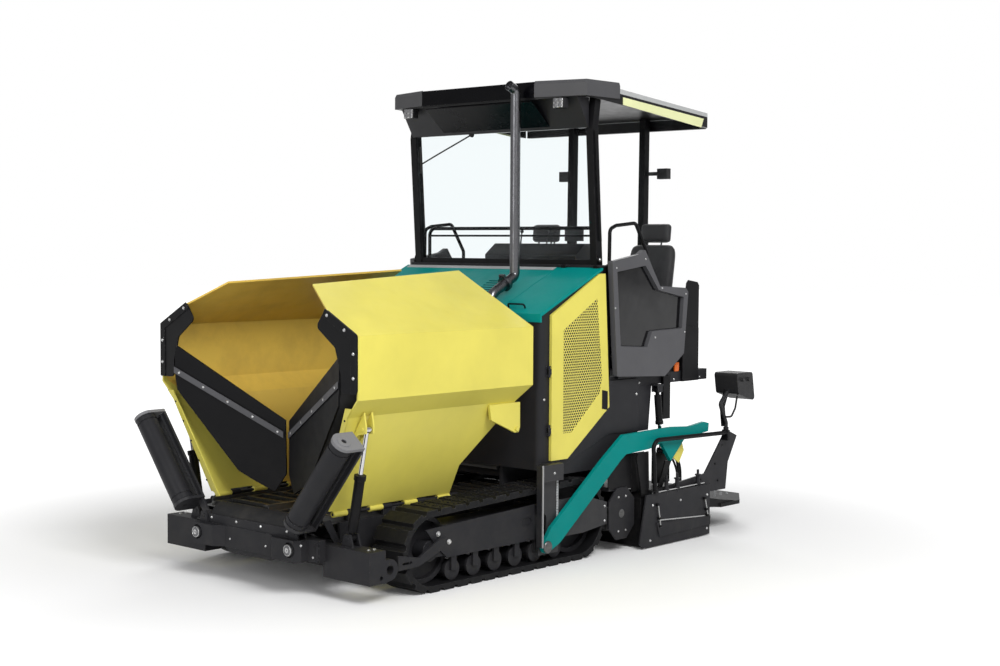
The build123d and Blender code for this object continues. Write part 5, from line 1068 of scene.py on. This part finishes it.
# %% Lines, scale, plates and rods
LINES = (
    (10.0, ((908, 3120, 1250), (910, 3130, 1150), (900, 3110, 1040), (860, 3020, 960), (790, 2900, 930))),
    (12.0, ((880, 3160, 1250), (888, 3176, 1130), (880, 3160, 1020), (830, 3060, 940), (750, 2900, 920))),
    (9.0, ((912, 3080, 1250), (914, 3090, 1170), (908, 3070, 1060), (880, 3000, 980), (820, 2900, 940))),
)
# the scale's two stations and two heights
SCALE = (1834.0, 1856.0, 210.0, 715.0)
TICKS = 26
HEATER_BOX = (935, 980, 3150, 3340, 444, 690, 8)
UPRIGHT = [(2790, 400), (2722, 690), (2730, 738), (2868, 744), (2880, 400)]
SHIELD = [(2446, 500), (2446, 640), (2560, 700), (2600, 750), (2728, 745), (2733, 470), (2500, 480)]
SHIELD_REAR = [(2742, 436), (2736, 735), (2900, 735), (2900, 436)]
BOX_BRACKET = [(3936, 1180), (3992, 1150), (3926, 1010), (3950, 850), (3892, 850), (3866, 1012)]
YELLOW_PLATE = [(3176, 700), (3359, 790), (3395, 700), (3330, 605)]
HOSES = (
    # radius, where it leaves the box, its top, and the x and station where it goes down
    (11.0, (950, 3320, 640), (935, 3440, 706), (910, 3560)),
    (9.0, (964, 3320, 590), (960, 3400, 630), (950, 3490)),
    (8.0, (946, 3320, 530), (910, 3470, 690), (870, 3640)),
)
HOSE_FLOOR = 420.0
GATE_RODS = (((2931, 337), (2968, 150)), ((3555, 313), (3600, 159)))
GATE_EDGE = [(2868, 420), (3560, 428), (3560, 436), (2868, 428)]
GATE_BAR = ((2950, 206), (3660, 160))
REAR_SHEETS = (
    # name, body, slot, finish, outline and the two x that the sheet lies between
    ("screed_upright", "screed", "black_paint", None, UPRIGHT, 1111.0, 1123.0),
    ("auger_shield", "chassis", "black_paint", None, SHIELD, 1058.0, 1065.0),
    ("screed_shield", "screed", "black_paint", None, SHIELD_REAR, 1050.0, 1056.0),
    ("box_bracket", "screed", "black_paint", None, BOX_BRACKET, 1086.0, 1098.0),
    ("screed_bracket", "screed", "wing_yellow", "plain_yellow", YELLOW_PLATE, 1064.0, 1074.0),
)


def hose_path(leaves, top, foot):
    """A smooth bow out of the heater box, and down to the screed's body where a ray finds it below."""
    hit = surface_under("screed_body", place([(*foot, 880)])[0], Vector(DOWNWARD))
    floor = hit[0][2] * 1000 if hit else HOSE_FLOOR
    out = (leaves[0], leaves[1] + 50, leaves[2] + 20)
    over_it = (foot[0], foot[1] - 6, (top[2] + floor) / 2)
    return smooth_path(place([leaves, out, top, over_it, (*foot, floor + 30), (*foot, floor - 12)]))


def set_gate_rods(side, label):
    """Two leaning adjusting rods with their lugs, and a long bar between them, on the end gate's face."""
    face = face_x("end_gates", side, 3240, 300)
    rods, lugs = [], []
    for (s0, z0), (s1, z1) in GATE_RODS:
        rods.append(over(tube(place([(face + 12, s0, z0), (face + 12, s1, z1)]), 0.006, 10), side))
        for share in (0.04, 0.62, 0.95):
            s, z = s0 + (s1 - s0) * share, z0 + (z1 - z0) * share
            lugs.append(over(box_mm(face - 1, face + 19, s - 16, s + 16, z - 9, z + 9, 3), side))
    (s0, z0), (s1, z1) = GATE_BAR
    bar = [(s0, z0 - 5), (s1, z1 - 5), (s1, z1 + 5), (s0, z0 + 5)]
    rods.append(over(sheet_x(bar, face - 0.5, face + 6), side))
    rods.append(over(sheet_x(GATE_EDGE, face - 6, face + 2), side))
    piece(f"gate_rods_{label}", "screed", "chromed_rod", rods, "bright_steel")
    piece(f"gate_lugs_{label}", "screed", "black_paint", lugs)


def tow_scale(side, label):
    """A pale strip up the tow column with a long tick after every four short ones."""
    face = face_x("tow_columns", side, 1846, 400)
    s0, s1, z0, z1 = SCALE
    strip = over(sheet_x([(s0, z0), (s0, z1), (s1, z1), (s1, z0)], face - 0.3, face + 1.0), side)
    piece(f"tow_scale_{label}", "chassis", "chromed_rod", [strip], "walk_top")
    marks = []
    for k, z in enumerate(np.linspace(z0 + 10, z1 - 10, TICKS)):
        start, end = s0 + 2, s1 - (10 if k % 5 else 2)
        corners = [(start, z - 1.5), (start, z + 1.5), (end, z + 1.5), (end, z - 1.5)]
        marks.append(over(sheet_x(corners, face, face + 1.6), side))
    piece(f"tow_scale_ticks_{label}", "chassis", "black_paint", marks)


def make_rear_details():
    """Bent tubes on smooth paths, the scale, plates from outlines, and a box with its hoses."""
    mirrored_sheets(REAR_SHEETS)
    for side, label in SIDES:
        lines = [over(tube(smooth_path(place(rows)), radius * 0.001), side) for radius, rows in LINES]
        piece(f"screed_lines_{label}", "chassis", "black_rubber", lines)
        tow_scale(side, label)
        piece(f"heater_box_{label}", "screed", "black_paint", [over(box_mm(*HEATER_BOX), side)])
        hoses = [over(tube(hose_path(*way), radius * 0.001), side) for radius, *way in HOSES]
        piece(f"screed_hoses_{label}", "screed", "black_rubber", hoses)
        set_gate_rods(side, label)


make_rear_details()
print("rear details ready")

# %% [markdown]
# A seat is foam under a stretched cover: it crowns in the middle, its sides pull in between the
# corners, and sewn channels and a piped seam hold it down. A superellipsoid gives that form: cosines
# and sines raised to small powers, so that a box and a ball meet halfway.

# %% Seats
SEAT_X = 590.0
ARM_OUT = 267
ARM_PATH = ((1.0, 3330, 1868), (1.0, 3470, 1866), (0.93, 3540, 1850), (0.8, 3575, 1800))
POST_PATH = ((3610, 2270), (3625, 2330), (3638, 2380))
# the bellows under the seat: height at its foot, height of its stack, mean radius, wave and folds
BELLOWS = (1.402, 0.132, 0.185, 0.014, 5)


def signed_power(value, power):
    return np.sign(value) * np.abs(value) ** power


def pillow(half, lift=0.55, square=0.32, pull=0.035, channels=(), depth=0.006, rows=28, columns=64):
    """Powers of cosine and sine over two turns; the plan pulls in by the squared cosine of twice the turn."""
    u = np.linspace(-np.pi / 2, np.pi / 2, rows)[:, None]
    v = (2 * np.pi * np.arange(columns) / columns)[None, :]
    plan = 1 - pull * np.cos(2 * v) ** 2
    x = half[0] * plan * signed_power(np.cos(u), lift) * signed_power(np.cos(v), square)
    y = half[1] * plan * signed_power(np.cos(u), lift) * signed_power(np.sin(v), square)
    z = half[2] * signed_power(np.sin(u), lift) + 0 * v
    for line in channels:
        z = z - np.sign(np.sin(u)) * depth * np.exp(-(((y - line) / 0.008) ** 2)) * (np.abs(np.sin(u)) > 0.2)
    return np.stack([x, y, z], -1).reshape(-1, 3), grid_faces(rows, columns)


def piping(half, square=0.32, pull=0.035, radius=0.0045, columns=96):
    """A cord of piping carried round the pillow's widest line."""
    v = 2 * np.pi * np.arange(columns + 1) / columns
    plan = 1.004 * (1 - pull * np.cos(2 * v) ** 2)
    x, y = half[0] * plan * signed_power(np.cos(v), square), half[1] * plan * signed_power(np.sin(v), square)
    return tube(np.stack([x, y, 0 * v], -1), radius, 6)


def leaned(shape, centre, lean):
    """A shape turned about X by an angle and moved to its centre, in millimetres."""
    points, faces = shape
    c, s = math.cos(lean), math.sin(lean)
    turn = np.array([(1, 0, 0), (0, c, s), (0, -s, c)])
    return points @ turn + place([centre])[0], faces


CUSHIONS = (
    # name, centre (station, height), half sizes, lean, channels across
    ("seat_cushion", (3312, 1662), (0.232, 0.235, 0.062), math.radians(3), (-0.09, 0.0, 0.09)),
    ("seat_back", (3566, 1998), (0.222, 0.335, 0.056), math.radians(81), (-0.16, -0.04, 0.08, 0.20)),
    ("headrest", (3646, 2418), (0.145, 0.075, 0.042), math.radians(84), ()),
)


def make_seats():
    """Cushions as pillows with piping, arm pads, and under them a base, a pan and the posts."""
    for side, label in SIDES:
        x = side * SEAT_X
        for name, (s, z), half, lean, channels in CUSHIONS:
            body = leaned(pillow(half, channels=channels), (x, s, z), lean)
            seam = leaned(piping(half), (x, s, z), lean)
            made = piece(f"{name}_{label}", "chassis", "seat_cover", [body, seam], angle=60)
            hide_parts("seats")
        for step, end in ((-ARM_OUT, "right"), (ARM_OUT, "left")):
            pad = pillow((0.026, 0.185, 0.021), square=0.5, pull=0.0, rows=14, columns=32)
            pad = leaned(pad, (x + step, 3372, 1892), math.radians(-1.5))
            made = piece(f"arm_pad_{label}_{end}", "chassis", "seat_cover", [pad], angle=60)
            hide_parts("seats")
        frame_parts = [
            box_mm(x - 150, x + 150, 3190, 3490, 1326, 1400, 10),
            box_mm(x - 215, x + 215, 3100, 3530, 1535, 1600, 12),
        ]
        for step in (-ARM_OUT, ARM_OUT):
            arm = place([(x + step * share, s, z) for share, s, z in ARM_PATH])
            frame_parts.append(tube(smooth_path(arm), 0.011))
        for post in (-70, 70):
            frame_parts.append(tube(smooth_path(place([(x + post, s, z) for s, z in POST_PATH])), 0.007))
        made = piece(f"seat_frame_{label}", "chassis", "dark_plastic", frame_parts)
        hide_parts("seats")
        foot, height, mean, wave, folds = BELLOWS
        turn = np.linspace(0, 1, 25)
        waves = [(foot + height * t, mean + wave * math.sin(2 * math.pi * folds * t)) for t in turn]
        points, faces = lathe([(waves[0][0], 0.0)] + waves + [(waves[-1][0], 0.0)], 32)
        points = points + place([(x, 3330, 0)])[0] * (1, 1, 0)
        soft = piece(f"seat_bellows_{label}", "chassis", "black_rubber", [(points, faces)])
        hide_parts("seats")


make_seats()
print("seats ready")

# %% [markdown]
# The screen on the dash has a dark pane. The walkway behind the screed is a punched plate whose round
# rims give the boots a hold.

# %% Screen and walkway treads
TREAD = lathe(
    [(0.0, 0.012), (0.0022, 0.011), (0.0028, 0.0095), (0.0022, 0.008), (0.0, 0.007), (0.0, 0.012)], 10
)
SCREEN = (306, 464, 2859.5, 2863, 2356, 2459, 1.5)
TREAD_PITCH = 0.06


def make_screen():
    """A thin pane on the rear face of the dash screen."""
    piece("screen_pane", "chassis", "clear_glass", [box_mm(*SCREEN)], "screen_glass")


def make_treads():
    """Rims in rows over the top of the walkway, found from the node's own box."""
    _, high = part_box("screed_walkway")
    xs = np.arange(-0.86, 0.861, TREAD_PITCH)
    found = []
    for row, station in enumerate(np.arange(3930, 4420, 45)):
        for x in xs + TREAD_PITCH / 2 * (row % 2):
            start = (x, station * 0.001 + STATION_ZERO, high.z + 0.1)
            hit = surface_under("screed_walkway", start, Vector(DOWNWARD))
            if hit and hit[1][2] > 0.9:
                found.append(hit[0])
    piece("walkway_treads", "screed", "exhaust_steel", [spread(TREAD, found, (0, 0, 1))], "walk_top")
    print("treads", len(found))


make_screen()
make_treads()

# %% [markdown]
# The track shoes are bolted to their chain, and the heads show on the upper run.

# %% Shoe bolts
SHOE_BOLT_X = (800, 860, 940, 1000)
SHOE_BOLT_SIZE = 0.008


def make_shoe_bolts():
    """Rays sent down on the upper run; a head sits wherever one meets the flat of a shoe."""
    for side, label in SIDES:
        found = []
        for station in np.arange(640, 2140, 35.0):
            for x in SHOE_BOLT_X:
                start = place([(side * x, station, 760)])[0]
                hit = surface_under(f"track_{label}", start, Vector(DOWNWARD))
                if hit and hit[1][2] > 0.97 and hit[0][2] > 0.52:
                    found.append(hit)
        if found:
            where, facing = zip(*found)
            heads = spread(HEAD, where, facing, SHOE_BOLT_SIZE)
            piece(f"shoe_bolts_{label}", "chassis", "track_steel", [heads])
        print("shoe bolts", label, len(found))


make_shoe_bolts()
